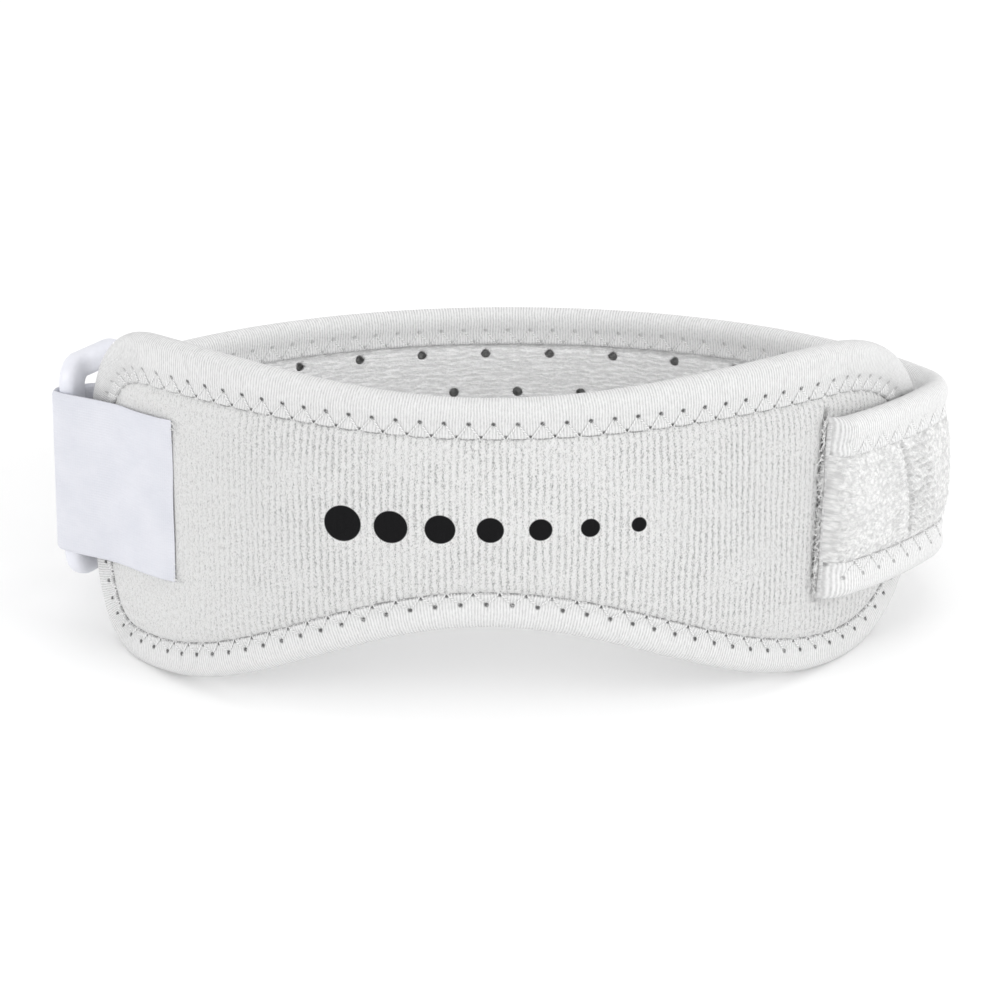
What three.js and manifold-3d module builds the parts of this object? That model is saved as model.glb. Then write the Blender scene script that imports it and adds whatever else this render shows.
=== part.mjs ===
// Patella strap: a padded front panel bound all round its hourglass edge, a strap of two cloth layers with
// bound edges that runs from the panel's right end round the back, and a hook tape that runs from the
// panel's left end through a plastic ring and back on itself.
// Millimetres, +Z up. The front faces -Y, and the loop stands on both lobes of the panel and on the strap.

import * as THREE from 'three';
import { mergeVertices } from 'three/addons/utils/BufferGeometryUtils.js';
import Module from 'manifold-3d';

// Loop in plan, along the middle of the strap's thickness
const LOOP_HALF_WIDTH = 66.8;
const LOOP_FRONT = 41.4;
const LOOP_BACK = 45.5;
const LOOP_END_RADIUS = 9.5;

// Gap between pieces that touch on the real thing
const CLEARANCE = 0.3;

// Binding: a cloth channel folded over an edge
const BINDING_WIDTH = 5.8;
const BINDING_WIDTH_OVER_LOBES = 7.6;
const BINDING_WALL = 0.8;

// Front panel, laid flat: lengths run along its middle surface, heights from its level line
const PAD_MIDDLE = -3.8;
const PAD_LOBE_REACH = 55.3;
const PAD_WAIST_ABOVE = 20;
const PAD_WAIST_BELOW = 14.8;
// Its two ends; a fullness of 2 rounds a corner off as an ellipse, and more fills it out
const PAD_LEFT = { length: 72.8, above: 24, below: 29.1, fullness: { above: 2.4, below: 3 } };
const PAD_RIGHT = { length: 81.8, above: 23.1, below: 27.7, fullness: { above: 2.15, below: 2.15 } };
const PAD_THICKNESS = 4.8;
const PAD_EDGE_THICKNESS = 1.9;
const PAD_SHOULDER = 2.2;

// Strap: outer cover and perforated lining, both pressed thinner inside the bindings
const STRAP_HEIGHT = 28.2;
const STRAP_BELOW_PAD_LINE = 1.2;
const STRAP_RIGHT_END = 51.8;
const STRAP_PAST_RING_BAR = 6.5;
const STRAP_END_FOLD = 3.4;
const COVER_THICKNESS = 1.8;
const COVER_CROWN = 0.9;
const LINING_THICKNESS = 1.5;
const LAYER_EDGE_THICKNESS = 0.75;

// Perforations of the lining, counted from its middle row
const HOLE_DIAMETER = 1.7;
const HOLE_PITCH = 10.9;
const HOLE_ROW_SPACING = 6.7;
const HOLE_END_MARGIN = 7.4;

// Ring: a plastic frame, its bars running up and down
const RING_LENGTH = 17;
const RING_HEIGHT = 35.6;
const RING_BAR = 4;
const RING_THICKNESS = 3.4;
const RING_CORNER = 4;
const RING_BEVEL = 1.2;
const RING_BAR_BEFORE_PAD_TIP = 2.85;
const RING_ABOVE_STRAP_LINE = 0.8;
const RING_RAISED = 0.3;
const RING_TURN = 8;

// Hook tape, and the webbing tab that holds the ring on the strap
const TAPE_WIDTH = 25.4;
const TAPE_THICKNESS = 1;
const TAPE_FREE_LENGTH = 24.8;
const TAPE_SEWN_LENGTH = 24;
const TAB_WIDTH = 22;
const TAB_THICKNESS = 1;
const TAB_LAP = 8;

// How much of the cloth is pressed flat where the loop stands
const PRESSED_FLAT = 0.45;

const wasm = await Module();
wasm.setup();

// Closed oval of four arcs, traced by its length from the middle of the front toward +X
class Oval {
  constructor(halfWidth, front, back, endRadius) {
    Object.assign(this, { halfWidth, front, back, endRadius });
    const reach = halfWidth - endRadius;
    const setBack = (depth) => (reach ** 2 - (depth - endRadius) ** 2) / (2 * (depth - endRadius));
    const frontCentre = setBack(front);
    const backCentre = setBack(back);
    const frontTurn = Math.atan2(reach, frontCentre);
    const backTurn = Math.PI - Math.atan2(reach, backCentre);
    this.arcs = [
      { x: 0, y: frontCentre, radius: front + frontCentre, from: 0, to: frontTurn },
      { x: reach, y: 0, radius: endRadius, from: frontTurn, to: backTurn },
      { x: 0, y: -backCentre, radius: back + backCentre, from: backTurn, to: 2 * Math.PI - backTurn },
      { x: -reach, y: 0, radius: endRadius, from: 2 * Math.PI - backTurn, to: 2 * Math.PI - frontTurn },
      { x: 0, y: frontCentre, radius: front + frontCentre, from: 2 * Math.PI - frontTurn, to: 2 * Math.PI },
    ];
    this.length = this.arcs.reduce((sum, arc) => sum + arc.radius * (arc.to - arc.from), 0);
  }

  // The same oval, moved outward by a distance
  offset(distance) {
    const { halfWidth, front, back, endRadius } = this;
    return new Oval(halfWidth + distance, front + distance, back + distance, endRadius + distance);
  }

  // Arc and angle at a length along the oval
  find(along) {
    let left = THREE.MathUtils.euclideanModulo(along, this.length);
    for (const arc of this.arcs) {
      const run = arc.radius * (arc.to - arc.from);
      if (left <= run) return { arc, angle: arc.from + left / arc.radius };
      left -= run;
    }
    return { arc: this.arcs[4], angle: 2 * Math.PI };
  }

  // Length along this oval that lies beside a length along another offset of it
  beside(other, along) {
    const { arc, angle } = other.find(along);
    const index = other.arcs.indexOf(arc);
    const before = this.arcs.slice(0, index).reduce((sum, a) => sum + a.radius * (a.to - a.from), 0);
    return before + this.arcs[index].radius * (angle - arc.from);
  }

  // Outward direction in plan at a length along the oval
  outward(along) {
    const { angle } = this.find(along);
    return new THREE.Vector3(Math.sin(angle), -Math.cos(angle), 0);
  }

  // Point at a length along the oval, an outward distance and a height
  point(along, out, z) {
    const { arc, angle } = this.find(along);
    const reach = arc.radius + out;
    return new THREE.Vector3(arc.x + reach * Math.sin(angle), arc.y - reach * Math.cos(angle), z);
  }

  // Stations between two lengths, closer together where the oval turns tightly
  stations(from, to, longest, widestTurn) {
    const stops = [from];
    while (stops[stops.length - 1] < to - 1e-6) {
      const last = stops[stops.length - 1];
      const { arc, angle } = this.find(last + 1e-6);
      const step = Math.min(longest, arc.radius * widestTurn);
      const toArcEnd = arc.radius * (arc.to - angle) + 1e-6;
      const stretch = Math.min(toArcEnd, to - last);
      stops.push(last + stretch / Math.max(1, Math.ceil(stretch / step)));
    }
    return stops;
  }
}

const strapEdgeThickness = 2 * LAYER_EDGE_THICKNESS + 3 * CLEARANCE + 2 * BINDING_WALL;
const padInset = strapEdgeThickness / 2 + CLEARANCE + PAD_THICKNESS / 2;
const strapPath = new Oval(LOOP_HALF_WIDTH, LOOP_FRONT, LOOP_BACK, LOOP_END_RADIUS);
const padPath = strapPath.offset(-padInset);
const strapLevel = -STRAP_BELOW_PAD_LINE;
const ringLevel = strapLevel + RING_ABOVE_STRAP_LINE;

// Along the oval from the panel's left tip: the ring's front bar, then its back bar, then the strap's end
const padTip = PAD_MIDDLE - PAD_LEFT.length;
const ringBarAt = strapPath.beside(padPath, padTip) + RING_BAR_BEFORE_PAD_TIP;
const strapLeftEnd = ringBarAt - (RING_LENGTH - RING_BAR) - STRAP_PAST_RING_BAR;
const tapeFreeEnd = padPath.beside(strapPath, ringBarAt + TAPE_FREE_LENGTH) - padPath.length;
const stationStep = 6;
const stationTurn = THREE.MathUtils.degToRad(10);

// Closed surface through loops of points that all have the same count
function skin(loops, { closed = false, capShape = null } = {}) {
  const count = loops[0].length;
  const positions = loops.flat().flatMap((p) => [p.x, p.y, p.z]);
  const indices = [];
  const last = closed ? loops.length : loops.length - 1;
  for (let i = 0; i < last; i++) {
    const here = i * count;
    const next = ((i + 1) % loops.length) * count;
    for (let j = 0; j < count; j++) {
      const k = (j + 1) % count;
      indices.push(here + j, next + j, next + k, here + j, next + k, here + k);
    }
  }
  if (capShape) {
    const end = (loops.length - 1) * count;
    const clockwise = THREE.ShapeUtils.isClockWise(capShape);
    for (const triangle of THREE.ShapeUtils.triangulateShape(capShape, [])) {
      const [a, b, c] = clockwise ? triangle : triangle.reverse();
      indices.push(a, c, b, end + a, end + b, end + c);
    }
  }
  return solid(positions, indices);
}

// Geometry with shared vertices, no empty triangles and its faces pointing out
function solid(positions, indices) {
  let geometry = new THREE.BufferGeometry();
  geometry.setAttribute('position', new THREE.Float32BufferAttribute(positions, 3));
  geometry.setIndex(indices);
  geometry = mergeVertices(geometry, 1e-4);
  const at = geometry.getAttribute('position');
  const corner = (i) => new THREE.Vector3().fromBufferAttribute(at, i);
  const kept = [];
  let volume = 0;
  for (let t = 0; t < geometry.index.count; t += 3) {
    const [a, b, c] = [0, 1, 2].map((k) => geometry.index.getX(t + k));
    if (a === b || b === c || c === a) continue;
    kept.push([a, b, c]);
    volume += corner(a).dot(corner(b).cross(corner(c)));
  }
  geometry.setIndex(kept.flatMap(([a, b, c]) => (volume < 0 ? [a, c, b] : [a, b, c])));
  return geometry;
}

// Solid cut by others, all given as geometries
function cut(geometry, tools) {
  const toManifold = (source) => {
    const bare = source.clone();
    bare.deleteAttribute('normal');
    bare.deleteAttribute('uv');
    const merged = mergeVertices(bare, 1e-4);
    return new wasm.Manifold(new wasm.Mesh({
      numProp: 3,
      vertProperties: new Float32Array(merged.getAttribute('position').array),
      triVerts: new Uint32Array(merged.index.array),
    }));
  };
  let body = toManifold(geometry);
  for (const tool of tools) body = body.subtract(toManifold(tool));
  const mesh = body.getMesh();
  return solid(Array.from(mesh.vertProperties), Array.from(mesh.triVerts));
}

// Section of a binding: inward distance from the edge, and distance to each side of the sheet it wraps,
// with further rows where the sheet also bends across the binding
function channelSection(slotThickness, width = BINDING_WIDTH, rows = []) {
  const half = slotThickness / 2 + BINDING_WALL;
  const nose = [15, 45, 75].map((degrees) => THREE.MathUtils.degToRad(degrees));
  const side = nose.map((a) => ({ inward: half * (1 - Math.cos(a)), out: half * Math.sin(a) }));
  const outer = [...side, ...rows.map((inward) => ({ inward, out: half })), { inward: width, out: half }];
  const inner = [width, ...rows.toReversed(), BINDING_WALL]
    .map((inward) => ({ inward, out: slotThickness / 2 }));
  const upper = [...outer, ...inner];
  return [...upper, ...upper.map(({ inward, out }) => ({ inward, out: -out })).reverse()];
}

// Outline of the panel laid flat, from its left tip along the lower edge to the right tip and back above,
// with the binding's width at each point
const padOutline = (() => {
  const endSteps = 10;
  const middleSteps = 22;
  const quarter = Math.PI / 2;
  const columns = [];
  for (let i = 0; i <= endSteps; i++) columns.push({ sign: -1, turn: quarter * (1 - i / endSteps) });
  for (let i = 1; i < middleSteps; i++) columns.push({ share: (2 * i) / middleSteps - 1 });
  for (let i = 0; i <= endSteps; i++) columns.push({ sign: 1, turn: quarter * (i / endSteps) });
  const edge = ({ sign, turn, share }, side, waist) => {
    const end = (sign ?? share) < 0 ? PAD_LEFT : PAD_RIGHT;
    const lobe = end[side];
    if (sign === undefined) {
      const rise = (1 - Math.cos(Math.PI * share)) / 2;
      return { s: PAD_LOBE_REACH * share, z: waist + (lobe - waist) * rise, rise };
    }
    const full = (part) => Math.max(part, 0) ** (2 / end.fullness[side]);
    const rise = full(Math.cos(turn));
    const s = PAD_LOBE_REACH + (end.length - PAD_LOBE_REACH) * full(Math.sin(turn));
    return { s: sign * s, z: lobe * rise, rise };
  };
  const below = columns.map((column) => {
    const { s, z } = edge(column, 'below', PAD_WAIST_BELOW);
    return { s, z: -z, width: BINDING_WIDTH };
  });
  const above = columns.map((column) => {
    const { s, z, rise } = edge(column, 'above', PAD_WAIST_ABOVE);
    return { s, z, width: THREE.MathUtils.lerp(BINDING_WIDTH, BINDING_WIDTH_OVER_LOBES, rise) };
  });
  const ring = [...below, ...above.slice(1, -1).reverse()];
  return ring.map((point, i) => {
    const before = ring.at(i - 1);
    const after = ring[(i + 1) % ring.length];
    const run = Math.hypot(after.s - before.s, after.z - before.z);
    return { ...point, inS: -(after.z - before.z) / run, inZ: (after.s - before.s) / run };
  });
})();

// Point of the bent panel at an inward distance from an outline point
function padPoint({ s, z, inS, inZ }, inward, out) {
  return padPath.point(PAD_MIDDLE + s + inS * inward, out, z + inZ * inward);
}

// Inward distance of the middle of a binding's sides
function middleRow(width) {
  return (BINDING_WALL + width) / 2;
}

// Padded panel: thin inside its binding, then a shoulder up to its full thickness
function frontPad() {
  const rows = ({ width }) => [
    { inward: BINDING_WALL + CLEARANCE, thickness: PAD_EDGE_THICKNESS },
    { inward: middleRow(width) + CLEARANCE, thickness: PAD_EDGE_THICKNESS },
    { inward: width + CLEARANCE, thickness: PAD_EDGE_THICKNESS },
    { inward: width + CLEARANCE + PAD_SHOULDER, thickness: PAD_THICKNESS },
  ];
  const middleRows = [0.33, 0.67];
  const half = padOutline.length / 2;
  const loops = [];
  for (let i = 0; i <= half; i++) {
    const below = padOutline[i];
    const above = padOutline[(padOutline.length - i) % padOutline.length];
    const face = (side) => {
      const [lower, upper] = [below, above].map((edge) =>
        rows(edge).map((row) => padPoint(edge, row.inward, (side * row.thickness) / 2)));
      const [low, high] = [below, above].map((edge) => rows(edge).at(-1).inward);
      const fill = middleRows.map((share) => {
        const s = THREE.MathUtils.lerp(below.s + below.inS * low, above.s + above.inS * high, share);
        const z = THREE.MathUtils.lerp(below.z + below.inZ * low, above.z + above.inZ * high, share);
        return padPath.point(PAD_MIDDLE + s, (side * PAD_THICKNESS) / 2, z);
      });
      return [...lower, ...fill, ...upper.reverse()];
    };
    loops.push([...face(1), ...face(-1).reverse()]);
  }
  return skin(loops);
}

// Binding of the panel: one closed channel round its outline
function frontBinding() {
  const slot = PAD_EDGE_THICKNESS + 2 * CLEARANCE;
  const loops = padOutline.map((edge) => {
    const section = channelSection(slot, edge.width, [middleRow(edge.width)]);
    return section.map(({ inward, out }) => padPoint(edge, inward, out));
  });
  return skin(loops, { closed: true });
}

// Outward distance on the strap, pressed toward the panel over the fold at its right end
function strapOut(s, out) {
  const base = -strapEdgeThickness / 2;
  const into = THREE.MathUtils.clamp((s - STRAP_RIGHT_END) / STRAP_END_FOLD, 0, 1);
  const rise = Math.sqrt(1 - (1 - into) ** 2);
  return base + (out - base) * (0.35 + 0.65 * rise);
}

// Sweep of a flat section along the strap, given as height over its middle line and outward distance
function alongStrap(section) {
  const fold = [0, 0.12, 0.4].map((share) => STRAP_RIGHT_END + share * STRAP_END_FOLD);
  const rest = strapPath.stations(STRAP_RIGHT_END + STRAP_END_FOLD, strapLeftEnd, stationStep, stationTurn);
  const loops = [...fold, ...rest].map((s) =>
    section.map(({ out, z }) => strapPath.point(s, strapOut(s, out), strapLevel + z)));
  return skin(loops, { capShape: section.map(({ out, z }) => new THREE.Vector2(out, z)) });
}

// Section of one cloth layer: flat inside, crowned outside by a given height, thin inside the bindings
function layerSection(inside, outside, edgeInside, edgeOutside, crown) {
  const edge = STRAP_HEIGHT / 2 - BINDING_WALL - CLEARANCE;
  const shoulder = STRAP_HEIGHT / 2 - BINDING_WIDTH - CLEARANCE;
  const body = shoulder - PAD_SHOULDER / 2;
  const right = [
    { out: edgeOutside, z: edge },
    { out: edgeOutside, z: shoulder },
    { out: outside + crown * 0.45, z: body },
  ];
  const left = [
    { out: inside, z: body },
    { out: edgeInside, z: shoulder },
    { out: edgeInside, z: edge },
  ];
  const mirror = (points) => points.map(({ out, z }) => ({ out, z: -z })).reverse();
  return [...right, ...(crown ? [{ out: outside + crown, z: 0 }] : []), ...mirror(right),
    ...mirror(left), ...left];
}

// Outer cover of the strap, crowned because it is padded
function strapCover() {
  const edgeInside = CLEARANCE / 2;
  const inside = CLEARANCE / 2 + (LINING_THICKNESS - COVER_THICKNESS) / 2;
  const section = layerSection(
    inside, inside + COVER_THICKNESS, edgeInside, edgeInside + LAYER_EDGE_THICKNESS, COVER_CROWN);
  return alongStrap(section);
}

// Lining of the strap, with three staggered rows of holes cut through
function strapLining() {
  const edgeInside = -CLEARANCE / 2 - LAYER_EDGE_THICKNESS;
  const outside = -CLEARANCE / 2 + (LINING_THICKNESS - COVER_THICKNESS) / 2;
  const section = layerSection(
    outside - LINING_THICKNESS, outside, edgeInside, edgeInside + LAYER_EDGE_THICKNESS, 0);
  const from = STRAP_RIGHT_END + STRAP_END_FOLD + HOLE_END_MARGIN;
  const to = strapLeftEnd - HOLE_END_MARGIN;
  const count = Math.floor((to - from) / HOLE_PITCH);
  const drills = [];
  for (const row of [-1, 0, 1]) {
    const stagger = row === 0 ? 0.5 : 0;
    for (let i = 0; i + stagger <= count; i++) {
      const s = from + (i + stagger) * HOLE_PITCH;
      const radius = HOLE_DIAMETER / 2;
      const drill = new THREE.CylinderGeometry(radius, radius, 4 * LINING_THICKNESS, 6);
      const axis = new THREE.Vector3(0, 1, 0);
      drill.applyQuaternion(new THREE.Quaternion().setFromUnitVectors(axis, strapPath.outward(s)));
      const centre = strapPath.point(s, outside - LINING_THICKNESS / 2, strapLevel + row * HOLE_ROW_SPACING);
      drill.translate(centre.x, centre.y, centre.z);
      drills.push(drill);
    }
  }
  return cut(alongStrap(section), drills);
}

// Binding along the upper edge of the strap with side 1, and along the lower edge with side -1
function strapBinding(side) {
  const slot = 2 * LAYER_EDGE_THICKNESS + 3 * CLEARANCE;
  const section = channelSection(slot).map(({ inward, out }) => ({
    out,
    z: side * (STRAP_HEIGHT / 2 - inward),
  }));
  return alongStrap(section);
}

// Middle lines of the ring's two bars, and the ring's directions in plan
const ring = (() => {
  const front = strapPath.point(ringBarAt, 0, ringLevel);
  const span = RING_LENGTH - RING_BAR;
  const back = strapPath.point(ringBarAt - span, 0, ringLevel);
  const along = back.clone().sub(front).normalize();
  along.applyAxisAngle(new THREE.Vector3(0, 0, 1), -THREE.MathUtils.degToRad(RING_TURN));
  const outward = along.clone().applyAxisAngle(new THREE.Vector3(0, 0, 1), Math.PI / 2);
  return { front, back: front.clone().addScaledVector(along, span), along, outward };
})();

// Rounded rectangle as a shape or, inside one, as a hole
function roundedRectangle(target, width, height, radius) {
  const [x, y] = [width / 2, height / 2];
  target.moveTo(x, y - radius);
  target.absarc(x - radius, y - radius, radius, 0, Math.PI / 2, false);
  target.absarc(-x + radius, y - radius, radius, Math.PI / 2, Math.PI, false);
  target.absarc(-x + radius, -y + radius, radius, Math.PI, 1.5 * Math.PI, false);
  target.absarc(x - radius, -y + radius, radius, 1.5 * Math.PI, 2 * Math.PI, false);
  return target;
}

// Plastic ring: a flat frame with rounded corners and edges
function slideRing() {
  const shape = roundedRectangle(
    new THREE.Shape(), RING_LENGTH - 2 * RING_BEVEL, RING_HEIGHT - 2 * RING_BEVEL, RING_CORNER - RING_BEVEL);
  const slotLength = RING_LENGTH - 2 * RING_BAR + 2 * RING_BEVEL;
  const slotHeight = RING_HEIGHT - 2 * RING_BAR + 2 * RING_BEVEL;
  shape.holes.push(roundedRectangle(new THREE.Path(), slotLength, slotHeight, RING_BEVEL + 0.6));
  const frame = new THREE.ExtrudeGeometry(shape, {
    depth: RING_THICKNESS - 2 * RING_BEVEL,
    bevelThickness: RING_BEVEL,
    bevelSize: RING_BEVEL,
    bevelSegments: 2,
    curveSegments: 3,
  });
  frame.translate(0, 0, -(RING_THICKNESS - 2 * RING_BEVEL) / 2);
  const up = new THREE.Vector3(0, 0, 1);
  const turn = new THREE.Matrix4().makeBasis(ring.along, up, ring.along.clone().cross(up));
  frame.applyMatrix4(turn);
  const centre = ring.front.clone().add(ring.back).multiplyScalar(0.5);
  frame.translate(centre.x, centre.y, centre.z + RING_RAISED);
  frame.deleteAttribute('normal');
  frame.deleteAttribute('uv');
  const merged = mergeVertices(frame, 1e-4);
  return solid(Array.from(merged.getAttribute('position').array), Array.from(merged.index.array));
}

// Flat band of one width, bent along a smooth route through points in plan
function bandAlong(points, thickness, width, steps) {
  const route = new THREE.CatmullRomCurve3(points, false, 'centripetal');
  const half = new THREE.Vector3(0, 0, width / 2);
  const loops = [];
  for (let i = 0; i <= steps; i++) {
    const share = i / steps;
    const side = route.getTangentAt(share).cross(new THREE.Vector3(0, 0, 1)).setLength(thickness / 2);
    const centre = route.getPointAt(share);
    loops.push([
      centre.clone().add(side).sub(half),
      centre.clone().add(side).add(half),
      centre.clone().sub(side).add(half),
      centre.clone().sub(side).sub(half),
    ]);
  }
  return skin(loops, { capShape: [[0, 0], [1, 0], [1, 1], [0, 1]].map(([x, y]) => new THREE.Vector2(x, y)) });
}

// Points on a circle round a bar, by degrees from its outer side
function roundBar(bar, radius, facing, turns) {
  return turns.map((degrees) => {
    const turn = THREE.MathUtils.degToRad(degrees);
    return bar.clone()
      .addScaledVector(ring.outward, radius * Math.cos(turn))
      .addScaledVector(ring.along, facing * radius * Math.sin(turn));
  });
}

// Hook tape: from the panel's outer face over the ring's front bar, through the ring, round the panel's
// left tip and along its inner face, where it is sewn
function hookTape() {
  const padHalf = PAD_THICKNESS / 2;
  const lift = CLEARANCE + TAPE_THICKNESS / 2;
  const onPad = (s, out) => padPath.point(s, out, ringLevel);
  const outside = [0, 0.3, 0.55].map((share) =>
    onPad(THREE.MathUtils.lerp(tapeFreeEnd, padTip, share), padHalf + lift));
  const overBar = roundBar(ring.front, RING_BAR / 2 + lift + CLEARANCE, 1, [-45, -15, 15, 45, 75]);
  const tipForward = padPath.point(padTip, 0, ringLevel);
  const past = new THREE.Vector3(0, 0, 1).cross(padPath.outward(padTip)).multiplyScalar(-1);
  const pastTip = [0.8, -0.8].map((share) =>
    tipForward.clone()
      .addScaledVector(past, lift + CLEARANCE)
      .addScaledVector(padPath.outward(padTip), share * padHalf));
  const inside = [0.06, 0.35, 0.7, 1].map((share) =>
    onPad(padTip + share * TAPE_SEWN_LENGTH, -padHalf - lift));
  return bandAlong([...outside, ...overBar, ...pastTip, ...inside], TAPE_THICKNESS, TAPE_WIDTH, 40);
}

// Webbing tab: laps both faces of the strap's left end and loops round the ring's back bar
function ringTab() {
  const side = Math.max(strapEdgeThickness / 2, RING_BAR / 2) + CLEARANCE + TAB_THICKNESS / 2 + COVER_CROWN;
  const leg = (out) => [strapLeftEnd - TAB_LAP, strapLeftEnd].map((s) => strapPath.point(s, out, strapLevel));
  const bend = RING_BAR / 2 + 2 * CLEARANCE + TAB_THICKNESS / 2;
  const loop = roundBar(ring.back.clone().setZ(strapLevel), bend, -1, [0, 45, 90, 135, 180]);
  const route = [...leg(side), ...loop, ...leg(-side + COVER_CROWN).reverse()];
  return bandAlong(route, TAB_THICKNESS, TAB_WIDTH, 26);
}

// Lean, roll and lift that set both lobes of the panel and the strap's lower edge on one level
const stance = (() => {
  const lobes = padOutline.map((edge) => padPoint(edge, 0, 0));
  const left = lobes.filter((p) => p.x < 0);
  const right = lobes.filter((p) => p.x > 0);
  const hem = strapPath.stations(STRAP_RIGHT_END, strapLeftEnd, 2, stationTurn)
    .map((s) => strapPath.point(s, 0, strapLevel - STRAP_HEIGHT / 2));
  const lowest = (points, lean, roll) => {
    const turn = new THREE.Euler(-lean, roll, 0);
    return Math.min(...points.map((p) => p.clone().applyEuler(turn).z));
  };
  const halve = (low, high, tooSmall) => {
    for (let i = 0; i < 30; i++) {
      const middle = (low + high) / 2;
      if (tooSmall(middle)) low = middle;
      else high = middle;
    }
    return low;
  };
  const rollAt = (lean) =>
    halve(-0.1, 0.1, (roll) => lowest(left, lean, roll) < lowest(right, lean, roll));
  const lean = halve(0, Math.PI / 6, (trial) => {
    const roll = rollAt(trial);
    return lowest(left, trial, roll) < lowest(hem, trial, roll);
  });
  const roll = rollAt(lean);
  return { lean, roll, lift: -lowest(left, lean, roll) - PRESSED_FLAT };
})();

// Vertices below the standing surface are pressed up to it
function pressFlat(geometry, placed) {
  geometry.applyMatrix4(placed);
  const at = geometry.getAttribute('position');
  for (let i = 0; i < at.count; i++) at.setZ(i, Math.max(at.getZ(i), 0));
  return geometry.applyMatrix4(placed.clone().invert());
}

const cloth = (color) => new THREE.MeshStandardMaterial({ color, roughness: 0.95, metalness: 0 });
const plastic = (color) => new THREE.MeshStandardMaterial({ color, roughness: 0.4, metalness: 0 });

const patellaStrap = new THREE.Group();
patellaStrap.name = 'patella_strap';
patellaStrap.rotation.set(-stance.lean, stance.roll, 0);
patellaStrap.position.z = stance.lift;
patellaStrap.updateMatrixWorld();

function add(name, geometry, material) {
  const mesh = new THREE.Mesh(geometry, material);
  mesh.name = name;
  patellaStrap.add(mesh);
}

add('front_pad', frontPad(), cloth(0xe8e8e6));
add('front_binding', pressFlat(frontBinding(), patellaStrap.matrixWorld), cloth(0xf0f0ee));
add('strap_cover', strapCover(), cloth(0xececea));
add('strap_lining', strapLining(), cloth(0xdddddb));
add('strap_binding_top', strapBinding(1), cloth(0xf0f0ee));
add('strap_binding_bottom', pressFlat(strapBinding(-1), patellaStrap.matrixWorld), cloth(0xf0f0ee));
add('hook_tape', hookTape(), cloth(0xe6e7ee));
add('slide_ring', slideRing(), plastic(0xeceef2));
add('ring_tab', ringTab(), cloth(0xe9e9e8));

// The origin is the middle of the base of the whole strap's box
patellaStrap.updateMatrixWorld(true);
const middle = new THREE.Box3().setFromObject(patellaStrap, true).getCenter(new THREE.Vector3());
patellaStrap.position.x -= middle.x;
patellaStrap.position.y -= middle.y;

export default patellaStrap;
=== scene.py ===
"""Looks of a white patella strap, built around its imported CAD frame.

Every shape is worked out in millimetres in the strap's own frame, where the loop stands upright on its
oval, and is then stood on the floor by one Stance. The oval, the panel's outline and the places along the
strap repeat the formulas and sizes of the CAD part.
"""

import logging
import math
from collections.abc import Callable
from dataclasses import dataclass
from enum import Enum
from functools import cached_property

import bpy
import numpy as np
from bpy.types import Material, Node, NodeSocket, Object
from mathutils import Matrix, Vector

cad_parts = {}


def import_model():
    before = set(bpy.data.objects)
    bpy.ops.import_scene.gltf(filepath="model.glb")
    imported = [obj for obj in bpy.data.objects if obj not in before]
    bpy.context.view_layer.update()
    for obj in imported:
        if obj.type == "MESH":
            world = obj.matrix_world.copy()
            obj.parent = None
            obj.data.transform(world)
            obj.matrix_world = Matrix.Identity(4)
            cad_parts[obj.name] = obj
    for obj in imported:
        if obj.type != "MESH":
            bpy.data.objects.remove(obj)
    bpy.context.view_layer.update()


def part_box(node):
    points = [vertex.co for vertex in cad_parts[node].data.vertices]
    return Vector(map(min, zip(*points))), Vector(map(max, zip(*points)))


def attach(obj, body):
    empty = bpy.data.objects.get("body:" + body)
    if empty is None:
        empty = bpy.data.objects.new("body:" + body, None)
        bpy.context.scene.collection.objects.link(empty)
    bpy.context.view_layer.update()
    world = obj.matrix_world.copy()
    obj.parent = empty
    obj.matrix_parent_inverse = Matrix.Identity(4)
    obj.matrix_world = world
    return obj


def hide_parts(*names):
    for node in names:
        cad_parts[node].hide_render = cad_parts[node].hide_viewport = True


LOG = logging.getLogger("patella_strap")
MM = 0.001
UV_NAME = "flat"
SHARP_DEGREES = 50.0
UP = np.array([0.0, 0.0, 1.0])
Array = np.ndarray
Colour = tuple[float, float, float]

# Shifts of the flat height on a piece's inner face, in millimetres, which set its pattern apart
PANEL_BACK = 200.0
STRAP_BACK = 100.0
BAND_BACK = 60.0


class Side(Enum):
    """Face of a cloth piece, by the sign of its outward distance."""

    OUTER = 1
    INNER = -1


class Edge(Enum):
    """Edge of the strap, by the sign of its height."""

    TOP = 1
    BOTTOM = -1


def smooth(low: float, high: float, values: Array) -> Array:
    """Smooth step from 0 below low to 1 above high.

    Args:
        low: Value where the step starts.
        high: Value where the step ends.
        values: Where the step is wanted.

    Returns:
        The step, with t * t * (3 - 2 * t) between the two ends.
    """
    t = np.clip((values - low) / (high - low), 0.0, 1.0)
    return t * t * (3.0 - 2.0 * t)


def bump(centre: float, width: float, values: Array) -> Array:
    """Bell of height 1 round a centre, exp(-((values - centre) / width) ** 2)."""
    return np.exp(-(((values - centre) / width) ** 2))


def ripple(seed: int, u: Array, v: Array, longest: float) -> Array:
    """Soft waviness of cloth, a sum of nine sines in seeded directions.

    Args:
        seed: Seed of the directions and phases.
        u: First flat coordinate in millimetres.
        v: Second flat coordinate in millimetres.
        longest: Longest wave in millimetres.

    Returns:
        Values of about -1 to 1, with the shape of u and v together.
    """
    count = 9
    random = np.random.default_rng(seed)
    turns = random.uniform(0.0, 2.0 * np.pi, count)
    phases = random.uniform(0.0, 2.0 * np.pi, count)
    waves = 2.0 * np.pi / (longest * random.uniform(0.45, 1.0, count))
    u, v = np.broadcast_arrays(u, v)
    run = u[..., None] * np.cos(turns) + v[..., None] * np.sin(turns)
    return np.sin(run * waves + phases).sum(axis=-1) / (0.6 * count)


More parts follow.
